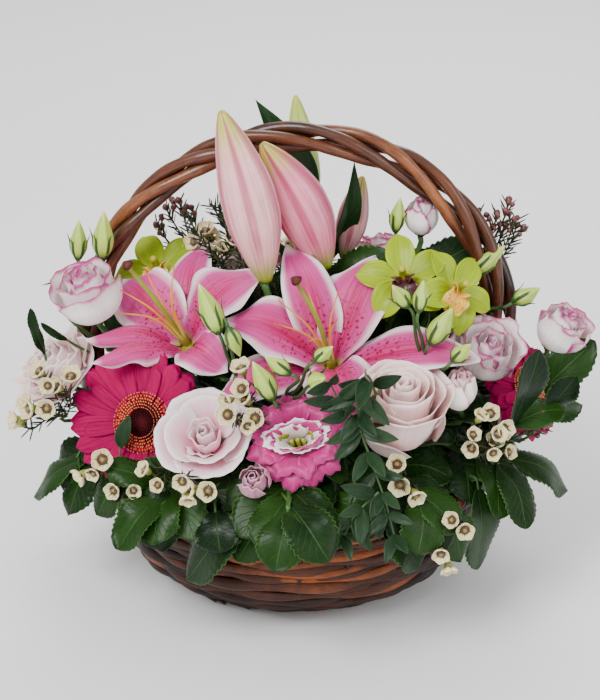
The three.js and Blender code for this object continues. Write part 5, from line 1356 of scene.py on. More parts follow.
def gerbera(name, nodes, centre, facing, radius, shift, seed):
    """Layers of rounded rays round a fringed dark disc, which stands a little off the middle."""
    rng = np.random.default_rng(seed)
    whole = Bloom(centre, facing)
    bloom = Bloom(whole.centre + whole.east * shift[0] + whole.north * shift[1], facing)
    piece = Piece()
    FLOWERS.append((bloom.along(4), radius * 0.9))
    for number, (count, reach, lift, end, width) in enumerate(RAY_LAYERS):
        for k in range(count):
            angle = (k + 0.5 * (number % 2)) / count * 360 + rng.uniform(-3, 3)
            toward = np.dot(shift, (math.cos(math.radians(angle)), math.sin(math.radians(angle))))
            edge = math.sqrt(radius**2 - np.dot(shift, shift) + toward**2) - toward
            far = edge * reach * rng.uniform(0.94, 1.02)
            spine = bow(bloom, angle, (radius * DISC, lift), (far * 0.55, lift + 4.5),
                        (far, lift + end + rng.uniform(-1.5, 1.5)), sway=rng.uniform(-4, 4))
            wide = width * radius / RAY_RADIUS * rng.uniform(0.9, 1.1)
            grid = petal_grid(spine, bloom.axis, wide, "strap", rows=10, cols=7, bend=-0.35, ridge=0.7,
                              wave=0.5, waves=1.2, phase=rng.uniform(0, 6))
            piece.sheet(grid, 0.7, shade=rng.uniform(0.2, 0.8))
    for ring in range(FRINGE_RINGS):
        count = 38 + 5 * ring
        for k in range(count):
            angle = (k + 0.5 * (ring % 2)) / count * 360 + rng.uniform(-2, 2)
            root = radius * (0.19 + 0.036 * ring)
            tip = (radius * (0.215 + 0.042 * ring), 10.0 - ring * 0.9 + rng.uniform(-0.5, 0.5))
            spine = bow(bloom, angle, (root, 4.0), (root, 7.5), tip, count=5)
            grid = petal_grid(spine, bloom.out(angle), 1.9, "strap", rows=5, cols=3, bend=0.4)
            piece.sheet(grid, 0.5, shade=rng.uniform(0.1, 0.9), material=1)
    piece.bud(bloom.along(-9), bloom.along(6.4),
              [(0, 3), (0.3, 8), (0.7, radius * 0.36), (0.94, radius * 0.24), (1, radius * 0.05)], sides=24,
              rows=14, material=2)
    piece.bud(bloom.along(-13), bloom.along(-2), [(0, 3), (0.3, 8), (1, radius * 0.3)], sides=24, rows=10,
              material=3)
    index = np.arange(FLORETS)
    share = np.sqrt((index + 0.5) / FLORETS)
    angles = np.degrees(index * GOLDEN)
    floret = Piece()
    floret.bud((0, 0, -1.2), (0, 0, 1.6), [(0, 0.7), (0.6, 0.95), (1, 0.3)], sides=6, rows=4)
    head = floret.made("floret")
    aims = bloom.axis + bloom.out(angles) * (0.5 * share)[:, None]
    places = bloom.at(angles, radius * DISC * share, 6.6 - 1.6 * (1 - share))
    piece.taken(scattered(head, places, aims, 1.0, "disc", seed), material=2)
    bpy.data.objects.remove(head)
    settle(piece.made(name, "ray", "fringe", "disc", "sepal"), "gerbera_ray", *nodes)
    root_stem(bloom.along(-6), -bloom.axis, 2.9)


def build_gerberas():
    """The large gerbera on the left and the smaller one on the right."""
    gerbera("gerbera_left", ("gerbera_left_rays", "gerbera_left_disc"), (-125, -86, 168),
            (-0.34, -0.83, 0.45), 56, (6, -9), 31)
    gerbera("gerbera_right", ("gerbera_right",), (178, -42, 172), (0.66, -0.5, 0.56), 43, (2, -2), 32)


# Name, centre, facing, angles of the three outer and two inner tepals, size, finish of the lip
# and whether the lip has a node of its own
ORCHIDS = (
    ("orchid_upright", (82, -42, 262), (-0.12, -0.72, 0.68), (90, 165, 20, 230, 310), 34, "lip_maroon", True),
    ("orchid_side", (118, -46, 254), (0.5, -0.66, 0.56), (82, 152, 13, 226, 303), 32, "lip_gold", True),
    ("orchid_left", (-108, 14, 244), (-0.25, -0.55, 0.8), (104, 172, 30, 239, 308), 35, "lip_gold", False),
)
COLUMN_RADII = np.array([2.6, 3.0, 3.1, 3.1, 3.1, 3.0, 2.9, 2.8, 2.8, 2.9, 2.6, 1.2])


def build_orchids():
    """Three lime orchids: five waxy tepals, a hooded column and a cupped lip with two side lobes."""
    for number, (name, centre, facing, angles, size, lip, own_node) in enumerate(ORCHIDS):
        rng = np.random.default_rng(41 + number)
        bloom = Bloom(centre, facing)
        FLOWERS.append((bloom.along(6), size * 0.8))
        piece = Piece()
        for i, angle in enumerate(angles):
            low, rise, width = (1.5, 0.24, 0.7) if i < 3 else (5, 0.38, 0.78)
            spine = bow(bloom, angle, (2, low), (size * 0.5, size * rise), (size * 1.1, size * 0.16), sag=2.0)
            grid = petal_grid(spine, bloom.axis, size * width, "lily", wave=0.9, waves=1.3, phase=i,
                              ridge=0.8)
            piece.sheet(grid, 1.1, shade=rng.uniform(0.2, 0.8))
        piece.bud(bloom.along(-2), bloom.along(8), [(0, 4), (0.5, 6), (1, 2.4)], sides=12, rows=8)
        settle(piece.made(name, "orchid"), "orchid_tepal", name + "_tepals")
        lips = Piece()
        seat = Bloom(bloom.along(7), facing)
        spine = bow(seat, 270, (0.5, 2), (size * 0.3, size * 0.46), (size * 0.66, size * 0.06), sag=2.5)
        lips.sheet(petal_grid(spine, bloom.axis, size * 0.66, "round", rows=18, cols=13, bend=0.9, roll=-0.9,
                              wave=2.0, waves=2.6, ridge=1.0), 1.0)
        for angle in (222, 318):
            spine = bow(seat, angle, (1, 1.5), (size * 0.16, size * 0.3), (size * 0.26, size * 0.42))
            grid = petal_grid(spine, seat.out(angle), size * 0.32, "round", rows=10, cols=7, bend=0.8)
            lips.sheet(grid, 0.9, shade=0.3)
        column = [seat.along(-4), seat.along(size * 0.2) + bloom.north * 2.6,
                  seat.along(size * 0.4) + bloom.north * 3]
        lips.rod(smooth(column, len(COLUMN_RADII)), COLUMN_RADII, 10, 0.4, material=1)
        lip_nodes = [name + "_lip"] if own_node else []
        settle(lips.made(name + "_lip", lip, "throat"), "orchid_" + lip, *lip_nodes)
        root_stem(bloom.centre, -bloom.axis, 2.3)


# Roses and lisianthus


# Petals of each ring, their half span, ruffle, finish, whether the ring is drawn out sideways,
# and the profile from throat to edge
RINGS = {
    "lisianthus_pink": (
        (6, 46, 2.8, 0, False, [(2, 0), (10, 8), (19, 17), (29, 20), (36, 15)]),
        (5, 56, 2.4, 0, False, [(2, 0), (8, 10), (15, 20), (24, 26), (30, 24)]),
        (5, 56, 1.2, 3, True, [(2, 1), (7, 11), (11.5, 20), (16, 27), (18.5, 28.5)]),
        (4, 64, 0.8, 0, True, [(2, 0), (7, 12), (10, 20), (13, 27), (16, 29)]),
        (3, 70, 0.8, 3, True, [(2, 0), (6, 12), (9, 20), (12, 27), (14, 28.5)]),
        (3, 70, 0.4, 2, True, [(1, 2), (4, 4), (7, 12), (9, 20), (10, 24)]),
    ),
    "rose_open": (
        (4, 66, 0.7, 0, False, [(2, 0), (14, 5), (25, 14), (33, 21), (38, 23)]),
        (3, 74, 0.6, 0, False, [(2, 0), (12, 8), (19, 18), (25, 26), (29, 29)]),
    ),
}
# Name, finish, slot, centre, facing, radius, height and the form of the wrapped heart
CUPS = (
    ("rose_blush", "blush", "rose_blush", (76, -112, 161), (0.04, -0.32, 0.95), 32, 63,
     dict(count=17, opening=1.1, fall=0.15, curl=5.5, guards=2, core=0.13, narrowing=72, droop=0.06,
          waist=0.88)),
    ("rose_open", "white", "rose_white", (-66, -118, 158), (-0.14, -0.56, 0.81), 32, 28,
     dict(count=8, heart=0.42, opening=1.16, fall=0.2, curl=2.0, core=0.24, ruffle=0.8)),
    ("lisianthus_pink", "lisianthus_pink", "lisianthus_pink", (2, -128, 164), (-0.1, -0.72, 0.68),
     32, 27, {}),
    ("rose_mauve", "mauve", "rose_mauve", (-31, -158, 146), (-0.05, -0.66, 0.75), 13, 25,
     dict(count=9, opening=0.7, fall=0.12, curl=1.0, core=0.2)),
    ("rose_far_left", "ivory", "rose_ivory", (-180, -36, 177), (-0.55, -0.35, 0.75), 28, 32,
     dict(count=18, opening=1.15, fall=0.34, curl=3.0, ruffle=3.0, frill=1.4, guards=3, core=0.16)),
    ("lisianthus_edged_left", "lisianthus_edged", "lisianthus_edged", (-152, -48, 236), (-0.3, -0.25, 0.92),
     26, 43, dict(count=11, opening=1.0, fall=0.12, curl=3.5, ruffle=1.6, frill=0.8, core=0.14, narrowing=70,
                  droop=0.1)),
    ("lisianthus_edged_right", "lisianthus_edged", "lisianthus_edged", (144, -54, 196), (0.1, -0.55, 0.83),
     27, 39, dict(count=10, opening=1.04, fall=0.16, curl=3.0, ruffle=1.8, frill=1.0, core=0.14, narrowing=74,
                  droop=0.12)),
    ("lisianthus_edged_far_right", "lisianthus_edged", "lisianthus_edged", (199, -16, 196),
     (0.45, -0.25, 0.85), 22, 35,
     dict(count=9, opening=0.9, fall=0.1, curl=2.4, ruffle=1.6, frill=0.9, core=0.16, narrowing=72,
          droop=0.1)),
    ("lisianthus_edged_top", "lisianthus_edged", "lisianthus_edged", (97, 12, 280), (0.12, -0.1, 1), 15, 28,
     dict(count=8, opening=0.72, fall=0.08, curl=1.6, ruffle=1.0, frill=0.7, core=0.2)),
    ("lisianthus_white_bud", "lisianthus_white", "lisianthus_white", (122, -102, 186), (0.04, -0.3, 0.95),
     15, 31, dict(count=8, opening=0.62, fall=0.06, curl=1.0, ruffle=1.0, core=0.2)),
    ("rose_back", "blush", "rose_blush", (-48, 112, 168), (-0.15, 0.55, 0.82), 31, 46,
     dict(count=18, opening=1.1, fall=0.3, curl=4.5, guards=4)),
    ("lisianthus_back", "lisianthus_edged", "lisianthus_edged", (58, 106, 170), (0.2, 0.55, 0.8), 28, 36,
     dict(count=13, opening=1.04, fall=0.24, curl=3.0, ruffle=1.8, frill=1.0, core=0.14)),
)
# Further blooms of the same piece: centre, facing, radius and height
COMPANIONS = {
    "rose_back": (((-104, 74, 176), (-0.5, 0.45, 0.75), 27, 36), ((-36, 66, 222), (-0.1, 0.4, 0.9), 24, 34)),
    "lisianthus_back": (((112, 70, 178), (0.5, 0.4, 0.75), 25, 34),
                        ((70, 66, 224), (0.15, 0.35, 0.9), 22, 32)),
}


def rosette(piece, bloom, radius, height, count, seed, heart=1.0, opening=1.1, core=0.16, fall=0.28,
            curl=4.0, ruffle=0.7, frill=0.0, guards=0, narrowing=96.0, droop=0.26, waist=1.0):
    """Petals wrapped round a tight heart, each lower, wider and more open than the one inside it."""
    rng = np.random.default_rng(seed)
    radius = radius * heart
    for k in range(count):
        out = k / (count - 1)
        belly = radius * (core + (waist - core) * out**0.95)
        mouth = radius * (core * 0.75 + (opening - core * 0.75) * out**1.35)
        top = height * (1 - fall * out**1.7) * rng.uniform(0.97, 1.03)
        profile = [(radius * 0.1, 0), (belly * 0.72, top * 0.16), (belly, top * 0.5),
                   (belly * 0.45 + mouth * 0.55, top * 0.8), (mouth, top)]
        grid = cup_petal(bloom, k * NO_ROWS + rng.uniform(-12, 12), 150 - narrowing * out**0.55, profile,
                         spiral=0.14 * (1 - out) + 0.03, curl=curl * out * rng.uniform(0.6, 1.3),
                         ruffle=ruffle * (0.3 + out) * rng.uniform(0.6, 1.4), phase=rng.uniform(0, 6),
                         drop=0.12 + droop * out, frill=frill * (0.4 + 0.6 * out), lift=1.2 * (1 - out))
        piece.sheet(grid, 0.75, shade=rng.uniform(0.2, 0.8))
    for k in range(guards):
        profile = [(radius * 0.1, 0), (radius * 0.72, height * 0.06), (radius * waist * 1.03, height * 0.3),
                   (radius * waist * 1.09, height * 0.46)]
        grid = cup_petal(bloom, k * 360 / guards + 40, 66, profile, cols=21, curl=3.5, ruffle=1.2, waves=2.0,
                         phase=k, drop=0.3)
        piece.sheet(grid, 0.75, shade=rng.uniform(0.3, 0.7))


def open_rings(piece, bloom, rings, seed):
    """Wide open petals in rings."""
    rng = np.random.default_rng(seed)
    for number, (count, span, ruffle, material, oval, profile) in enumerate(rings):
        for k in range(count):
            angle = (k + 0.5 * (number % 2)) * 360 / count + rng.uniform(-8, 8)
            grid = cup_petal(bloom, angle, span, profile, rng.uniform(0.94, 1.06), rows=20, cols=25,
                             spiral=0.06, ruffle=ruffle * rng.uniform(0.7, 1.3), waves=2.6,
                             phase=rng.uniform(0, 6), drop=0.2, frill=ruffle * 0.5)
            if oval:
                away = grid - bloom.centre
                grid = grid + bloom.east * (away @ bloom.east)[..., None] * 0.35
                grid = grid - bloom.north * (away @ bloom.north)[..., None] * 0.3
            piece.sheet(grid, 0.75, shade=rng.uniform(0.2, 0.8), material=material)


def calyx(piece, bloom, radius, height):
    """The green cup and pointed sepals under a bloom."""
    piece.bud(bloom.along(-height * 0.5), bloom.along(height * 0.4),
              [(0, 2.3), (0.4, radius * 0.8), (1, radius)], sides=12, rows=8, material=1)
    for angle in range(0, 360, 72):
        spine = bow(bloom, angle, (radius * 0.5, -height * 0.2), (radius * 1.7, -height * 0.15),
                    (radius * 2.1, height * 1.2), count=7)
        grid = petal_grid(spine, -bloom.out(angle), radius * 0.7, "lance", rows=10, cols=5, bend=0.4)
        piece.sheet(grid, 0.6, material=1)


def build_cups(kind):
    """Every bloom of the table whose name starts with its kind, with its calyx and stem."""
    for number, (name, finish_key, slot, centre, facing, radius, height, form) in enumerate(CUPS):
        if not name.startswith(kind):
            continue
        piece = Piece()
        flowers = ((centre, facing, radius, height), *COMPANIONS.get(name, ()))
        for k, (place, aim, wide, tall) in enumerate(flowers):
            bloom = Bloom(place, aim)
            FLOWERS.append((bloom.along(tall * 0.5), wide * 0.95))
            if form:
                rosette(piece, bloom, wide, tall, seed=50 + 10 * number + k, **form)
            open_rings(piece, bloom, RINGS.get(name, ()), 50 + number)
            calyx(piece, bloom, min(6.0, wide * 0.3), wide * 0.4)
            if not form:
                for side in (-4.0, 0.5, 4.5):
                    root = bloom.centre + bloom.east * side
                    tip = root + bloom.axis * (21 - abs(side) * 0.4)
                    piece.bud(root, tip, [(0, 2), (0.7, 2.2), (1, 0.9)], sides=10, rows=8, ribs=3,
                              depth=0.16, material=2)
            root_stem(bloom.along(-wide * 0.15), -bloom.axis, 2.3)
        settle(piece.made(name, finish_key, "sepal", "throat", "lisianthus_ring"), slot, name)


def build_roses():
    """The roses, in front and behind."""
    build_cups("rose")


def build_lisianthus():
    """The open and half open lisianthus."""
    build_cups("lisianthus")


# Bud sprays, waxflowers and small sprigs


# Where the stems of a spray part, then base, tip and radius of each bud
SPRAYS = {
    "bud_spray_left": ((-174, -20, 232), ((-169, -20, 272), (-167, -20, 303), 6.5),
                       ((-150, -24, 274), (-147, -24, 312), 8)),
    "bud_spray_upper_left": ((-46, -92, 206), ((-58, -103, 247), (-72, -99, 284), 8.5),
                             ((-50, -106, 250), (-42, -110, 230), 6)),
    "bud_spray_center": ((-8, -106, 190), ((-18, -138, 210), (-32, -138, 239), 8),
                         ((-6, -134, 228), (-23, -130, 239), 6), ((14, -146, 244), (26, -144, 254), 5.5),
                         ((12, -148, 226), (20, -160, 236), 7.5)),
    "bud_spray_upper_right": ((98, -90, 208), ((81, -100, 267), (70, -100, 283), 6.5),
                              ((90, -102, 264), (93, -98, 286), 6), ((100, -98, 236), (115, -94, 262), 8.5),
                              ((116, -114, 229), (128, -112, 241), 6.5)),
    "bud_spray_right": ((148, -14, 226), ((140, -10, 256), (162, -5, 276), 7),
                        ((170, -18, 234), (190, -14, 244), 7)),
}
# The slim leaf of the left spray, from root to tip
SLIM_LEAF = ((-172, -20, 240), (-184, -19, 250), (-199, -18, 248))


def closed_bud(piece, base, tip, radius, shade):
    """A pointed bud with a twist, held by thin sepals; returns the way it points."""
    length = np.linalg.norm(vec(*tip) - vec(*base))
    bloom = Bloom(base, vec(*tip) - vec(*base))
    profile = [(0, radius * 0.4), (0.15, radius * 0.85), (0.4, radius), (0.7, radius * 0.62),
               (0.9, radius * 0.26), (1, 0.4)]
    piece.bud(base, tip, profile, sides=20, rows=20, ribs=5, depth=0.07, twist=0.3, shade=shade)
    for angle in range(20, 380, 72):
        spine = [bloom.at(angle, radius * 0.35, -1.5), bloom.at(angle, radius * 0.98, length * 0.2),
                 bloom.at(angle, radius * 1.12, length * 0.42), bloom.at(angle, radius * 1.5, length * 0.62)]
        grid = petal_grid(spine, -bloom.out(angle), 2.6, "needle", rows=10, cols=5)
        piece.sheet(grid, 0.6, shade=0.3, material=1)
    foot = [(0, 1.3), (0.5, radius * 0.5), (1, radius * 0.6)]
    piece.bud(bloom.along(-2.5), bloom.along(length * 0.1), foot, sides=12, rows=6, material=1)
    return bloom


def build_sprays():
    """Closed lisianthus buds on thin stems, and the bud beside the top lisianthus."""
    rng = np.random.default_rng(61)
    for name, (fork, *buds) in SPRAYS.items():
        piece = Piece()
        for base, tip, radius in buds:
            bud = closed_bud(piece, base, tip, radius, rng.uniform(0.2, 0.8))
            middle = (bud.centre + vec(*fork)) / 2 - UP * 2
            add_stem([bud.along(-1), bud.along(-9), middle, fork], 1.3)
        root_stem(fork, -UP, 1.7)
        if name == "bud_spray_left":
            piece.sheet(petal_grid(SLIM_LEAF, UP, 7, "lance", rows=12, cols=5), 0.7, material=1)
        settle(piece.made(name, "lime", "sepal"), "bud_lime", name)
    piece = Piece()
    closed_bud(piece, (77, 2, 286), (80, 2, 313), 6, 0.5)
    add_stem([(77, 2, 284), (80, 4, 266), (92, 10, 258)], 1.3)
    settle(piece.made("lisianthus_top_bud", "lime", "sepal"), "bud_lime")


# Where a spray parts, then the small flowers as place and facing, then the round buds
WAXFLOWERS = {
    "waxflower_left": ((-180, -52, 152), (
        (-196, -75, 201, -0.4, -0.6, 0.7), (-215, -70, 154, -0.8, -0.5, 0.2),
        (-190, -90, 177, -0.5, -0.8, 0.4), (-207, -80, 176, -0.7, -0.6, 0.4),
        (-182, -84, 192, -0.2, -0.8, 0.6)), ()),
    "waxflower_upper_left": ((-70, 38, 214), (
        (-83, 26, 262, -0.5, -0.3, 0.8), (-60, 22, 262, 0.5, -0.3, 0.8), (-68, 24, 246, -0.3, -0.6, 0.8),
        (-50, 12, 274, 0.3, -0.2, 0.9), (-38, 14, 254, 0.5, -0.4, 0.8), (-72, 20, 278, -0.3, -0.3, 0.9)),
        ((-104, 36, 292), (-94, 38, 297), (-112, 34, 278), (-84, 40, 290))),
    "waxflower_upper_right": ((146, 30, 232), (), (
        (158, 28, 290), (174, 28, 286), (148, 28, 280), (167, 30, 298), (142, 27, 290), (165, 32, 279),
        (180, 30, 276))),
    "waxflower_right": ((134, -104, 148), (
        (131, -128, 174, 0, -0.9, 0.4), (155, -114, 172, 0.5, -0.8, 0.4), (147, -124, 157, 0.3, -0.9, 0.1),
        (160, -110, 150, 0.6, -0.8, 0)), ((188, -84, 158), (192, -78, 166))),
    "waxflower_front": ((-36, -106, 172), (
        (-30, -150, 199, 0, -0.9, 0.5), (-50, -148, 201, -0.2, -0.9, 0.4),
        (-40, -138, 217, -0.1, -0.8, 0.6)), ()),
    "waxflower_front_left": ((-94, -120, 142), (
        (-64, -174, 152, 0, -1, 0.2), (-83, -172, 159, -0.2, -0.9, 0.4), (-102, -158, 148, -0.3, -0.9, 0.1),
        (-136, -144, 136, -0.4, -0.9, 0.2), (-152, -132, 144, -0.6, -0.8, 0.2)), ()),
    "waxflower_low_right": ((92, -134, 136), (
        (124, -168, 116, 0.4, -0.9, 0.1), (106, -182, 104, 0.2, -0.9, 0.1),
        (76, -160, 150, 0, -0.9, 0.4)), ()),
    "waxflower_back": ((6, 96, 190), (
        (-4, 124, 212, 0, 0.8, 0.6), (16, 118, 224, 0.2, 0.8, 0.6), (4, 100, 240, 0, 0.5, 0.9),
        (24, 132, 200, 0.3, 0.9, 0.3), (-18, 104, 230, -0.3, 0.6, 0.7), (30, 100, 240, 0.3, 0.5, 0.8)), ()),
}
# Long twigs thick with needles, from tip to foot
NEEDLE_TWIGS = {
    "waxflower_upper_left": (((-86, 2, 299), (-66, -4, 268), (-30, -8, 236), (-14, -6, 196)),
                             ((-62, 20, 300), (-52, 12, 272), (-34, 2, 244), (-16, 2, 204)),
                             ((-34, 24, 286), (-28, 14, 262), (-16, 6, 232), (-8, 4, 200))),
    "waxflower_back": (((-70, 60, 286), (-50, 64, 256), (-20, 80, 226), (6, 90, 196)),),
}
# Parts of a small flower that are turned on a lathe: foot, tip, profile, sides, rows, ribs and their depth
TURNED_HEADS = {
    "heart": (-0.6, 2.1, [(0, 2.4), (0.5, 3.1), (0.62, 2.7), (0.7, 1.6), (1, 0.9)], 10, 9, 0, 0),
    "cup": (-5.4, 0.4, [(0, 0.9), (0.4, 2.3), (0.8, 2.9), (1, 2.6)], 10, 6, 5, 0.08),
    "berry": (-2.6, 3.0, [(0, 0.8), (0.35, 2.3), (0.7, 2.4), (1, 0.8)], 10, 7, 5, 0.06),
    "needle": (0, 15, [(0, 0.5), (0.3, 0.85), (0.8, 0.7), (1, 0.15)], 5, 6, 0, 0),
}
# Needles along a twig and along a long one
NEEDLES = 30
MANY_NEEDLES = 110
# Finishes of petals, hearts, cups, buds, needles and twigs
WAX_FINISHES = ("wax", "wax_heart", "wax_cup", "berry", "needle", "twig")


def wax_heads():
    """The parts that a spray is set with, each its own shape: petals, dark heart, cup, bud and needle."""
    petals = Piece()
    bloom = Bloom((0, 0, 0), UP)
    for k in range(5):
        spine = bow(bloom, k * 72, (2.2, 0.0), (5.6, 0.4), (6.1, 4.2), count=5)
        grid = petal_grid(spine, bloom.axis, 7.2, "round", rows=8, cols=5, bend=0.8)
        petals.sheet(grid, 0.6, shade=0.3 + 0.1 * k)
    heads = {"petals": petals.made("head_petals")}
    for name, (foot, tip, profile, sides, rows, ribs, depth) in TURNED_HEADS.items():
        part = Piece()
        part.bud((0, 0, foot), (0, 0, tip), profile, sides=sides, rows=rows, ribs=ribs, depth=depth)
        heads[name] = part.made("head_" + name)
    return heads


def beside(rng, at, aim, out, along, tilt):
    """A place next to a head, and the way that a head leans there."""
    side = unit(np.cross(aim, rng.normal(size=3)))
    spot = at + side * rng.uniform(*out) + aim * rng.uniform(*along)
    return spot, unit(aim + side * tilt)


def set_on(piece, head, spots, sizes, slot, seed):
    """Adds copies of a head to a spray, on spots that are each a place and an aim."""
    places, aims = zip(*spots)
    piece.taken(scattered(head, places, aims, sizes, WAX_FINISHES[slot], seed), slot)


def build_waxflowers():
    """Sprays of small cream flowers and round buds on woody twigs with needle leaves."""
    rng = np.random.default_rng(71)
    heads = wax_heads()
    for number, (name, (fork, flowers, berries)) in enumerate(WAXFLOWERS.items()):
        fork = vec(*fork)
        blooms = []
        tips = []
        twigs = []
        for x, y, z, *toward in flowers:
            at = vec(x, y, z)
            aim = unit(unit(toward) + rng.uniform(-0.4, 0.4, 3))
            shared = at - aim * 11 - UP * 2
            middle = (shared + fork) / 2 + rng.uniform(-3, 3, 3)
            twigs.append((smooth([at - aim * 4, shared, middle, fork], 14), NEEDLES))
            blooms.append((at, aim))
            for _ in range(1 + int(rng.uniform() > 0.7)):
                spot, lean = beside(rng, at, aim, (13, 16.5), (-4, 1.5), 0.8)
                blooms.append((spot, lean))
                twigs.append((smooth([spot - lean * 4, spot - lean * 8, shared], 6), 0))
        for at in berries:
            at = vec(*at)
            aim = unit(at - fork + rng.normal(size=3) * 6)
            tips.append((at, aim))
            shared = at - aim * 12
            middle = (shared + fork) / 2 + rng.uniform(-4, 4, 3)
            twigs.append((smooth([at - aim * 2, shared, middle, fork], 14), NEEDLES))
            for _ in range(3):
                spot, lean = beside(rng, at, aim, (5, 8), (-6, 2), 0.6)
                tips.append((spot, lean))
                twigs.append((smooth([spot - lean * 2, spot - lean * 5, shared], 5), 0))
        twigs += [(smooth(points, 40), MANY_NEEDLES) for points in NEEDLE_TWIGS.get(name, ())]
        needles = []
        for line, count in twigs:
            for share in np.linspace(0.02, 0.95, count):
                k = int(share * (len(line) - 2))
                heading = unit(line[k] - line[k + 1])
                out = unit(np.cross(heading, rng.normal(size=3)))
                needles.append((line[k], heading * 0.75 + out * 0.7))
        piece = Piece()
        if blooms:
            for slot, key in enumerate(("petals", "heart", "cup")):
                sizes = np.random.default_rng(number).uniform(0.95, 1.4, len(blooms))
                set_on(piece, heads[key], blooms, sizes, slot, number)
        if tips:
            set_on(piece, heads["berry"], tips, rng.uniform(0.8, 1.15, len(tips)), 3, number)
        set_on(piece, heads["needle"], needles, rng.uniform(0.5, 0.85, len(needles)), 4, number)
        lines = [{"points": line, "thick": 0.75} for line, _ in twigs]
        piece.taken(swept(lines, "twig", sides=6), 5)
        slot = "waxflower_cream" if flowers else "waxflower_bud"
        settle(piece.made(name, *WAX_FINISHES), slot, name)
        root_stem(fork, -UP, 1.5, run=5, shade=0.2)
    for head in heads.values():
        bpy.data.objects.remove(head)


# Twigs of the sprig, and how many pairs of leaves each has
SPRIG = (
    ([(58, -140, 214), (50, -156, 236), (44, -158, 205), (54, -164, 172), (64, -176, 146),
      (72, -186, 118)], 10),
    ([(50, -160, 196), (34, -158, 212), (24, -156, 230)], 4),
    ([(60, -172, 150), (44, -178, 136), (34, -182, 118)], 4),
)


def build_sprig():
    """Grey-green leaves in pairs along trailing twigs."""
    rng = np.random.default_rng(81)
    piece = Piece()
    for points, pairs in SPRIG:
        line = smooth(points, 80)
        tangents = unit(np.gradient(line, axis=0))
        piece.rod(smooth(points, 30), np.linspace(1.2, 0.6, 30), shade=0.3, material=1)
        for k in range(pairs):
            at = int((0.08 + 0.9 * k / (pairs - 1)) * 79)
            root = line[at]
            heading = tangents[at]
            cross = unit(np.cross(heading, FRONT))
            wide, forward = (0.5, 0.75) if k % 2 else (0.9, 0.25)
            for hand in (-1, 1):
                lean = cross * hand * wide + heading * 0.5 + FRONT * forward
                lean = unit(lean + rng.uniform(-0.15, 0.15, 3))
                length = 31 * (1 - 0.3 * k / pairs) * rng.uniform(0.85, 1.1)
                up = unit(FRONT + UP * 0.3 + cross * hand * 0.2)
                spine = [root, root + lean * length * 0.5 + up * 1.6, root + lean * length]
                grid = petal_grid(spine, up, length * 0.38, "myrtle", rows=14, cols=7, ridge=0.6)
                piece.sheet(grid, 0.7, shade=rng.uniform(0.1, 0.9))
    spine = [(-134, -108, 152), (-131, -108, 166), (-126, -104, 178)]
    grid = petal_grid(spine, (0, -0.9, 0.4), 12, "myrtle", rows=14, cols=7, bend=0.4, ridge=0.6)
    piece.sheet(grid, 0.7, shade=0.4)
    line = smooth([(-134, -108, 154), (-132, -118, 136), (-112, -118, 126)], 12)
    piece.rod(line, 0.7, shade=0.3, material=1)
    settle(piece.made("myrtle_sprig", "myrtle", "stem"), "leaf_myrtle", "myrtle_sprig")
    root_stem((58, -140, 214), (0, 0.85, -0.5), 1.5)


# Broad leaves


# Name of each leafy stem, its angle round the basket, height, length of a leaf and reach
FOLIAGE = (
    ("foliage_front", 268, 144, 60, 184), ("foliage_front_right", 300, 139, 58, 178),
    ("foliage_front_left", 236, 138, 59, 178), ("foliage_right_front", 330, 132, 66, 178),
    ("foliage_left_front", 206, 132, 66, 178), ("foliage_right", 14, 150, 66, 186),
    ("foliage_left", 160, 142, 66, 178), ("foliage_back_right", 52, 132, 66, 178),
    ("foliage_back_left", 118, 132, 66, 178),
)
# Leaves that hang over the front, each from its root to its tip, and their width
DRAPED = (
    ((-106, -146, 140), (-101, -168, 97), 36), ((-34, -160, 130), (-83, -158, 66), 40),
    ((-9, -160, 142), (-11, -172, 104), 32), ((6, -164, 144), (17, -176, 106), 34),
    ((44, -160, 142), (47, -174, 108), 32), ((62, -160, 118), (92, -164, 80), 34),
    ((138, -110, 120), (140, -118, 52), 40), ((163, -76, 128), (214, -66, 92), 38),
    ((-170, -74, 128), (-180, -86, 100), 30),
    ((-130, -130, 138), (-150, -140, 112), 34), ((-60, -160, 128), (-56, -182, 104), 34),
    ((20, -156, 138), (66, -172, 122), 32), ((112, -136, 120), (124, -150, 78), 34),
    ((178, -40, 140), (226, -30, 150), 34), ((-112, -126, 130), (-112, -162, 100), 32),
    ((-20, -164, 128), (-44, -176, 94), 30), ((88, -150, 122), (112, -164, 96), 30),
    ((150, -90, 130), (178, -108, 84), 34), ((-99, -132, 136), (-144, -132, 150), 26),
    ((-96, -134, 130), (-128, -152, 112), 30), ((163, -96, 158), (182, -94, 228), 34),
    ((160, -96, 164), (206, -74, 168), 26), ((186, -70, 150), (214, -72, 196), 24),
)
# Leaves that stand behind the flowers, their faces to the front
UPRIGHT = (
    ((84, 14, 232), (143, 16, 271), 32), ((24, -6, 234), (73, -8, 271), 34),
    ((30, -2, 222), (38, -6, 262), 26), ((100, 20, 224), (120, 26, 262), 26),
    ((182, -36, 152), (233, -30, 206), 34), ((-8, -2, 222), (6, -6, 262), 26),
    ((-194, -54, 204), (-203, -58, 246), 9), ((-176, -48, 214), (-196, -54, 232), 6),
)


def clear_of_flowers(root, tip, spare):
    """Whether a leaf between two points stays out of every flower."""
    line = root + (tip - root) * np.linspace(0, 1, 7)[:, None]
    return all(np.linalg.norm(line - middle, axis=1).min() > radius + spare for middle, radius in FLOWERS)


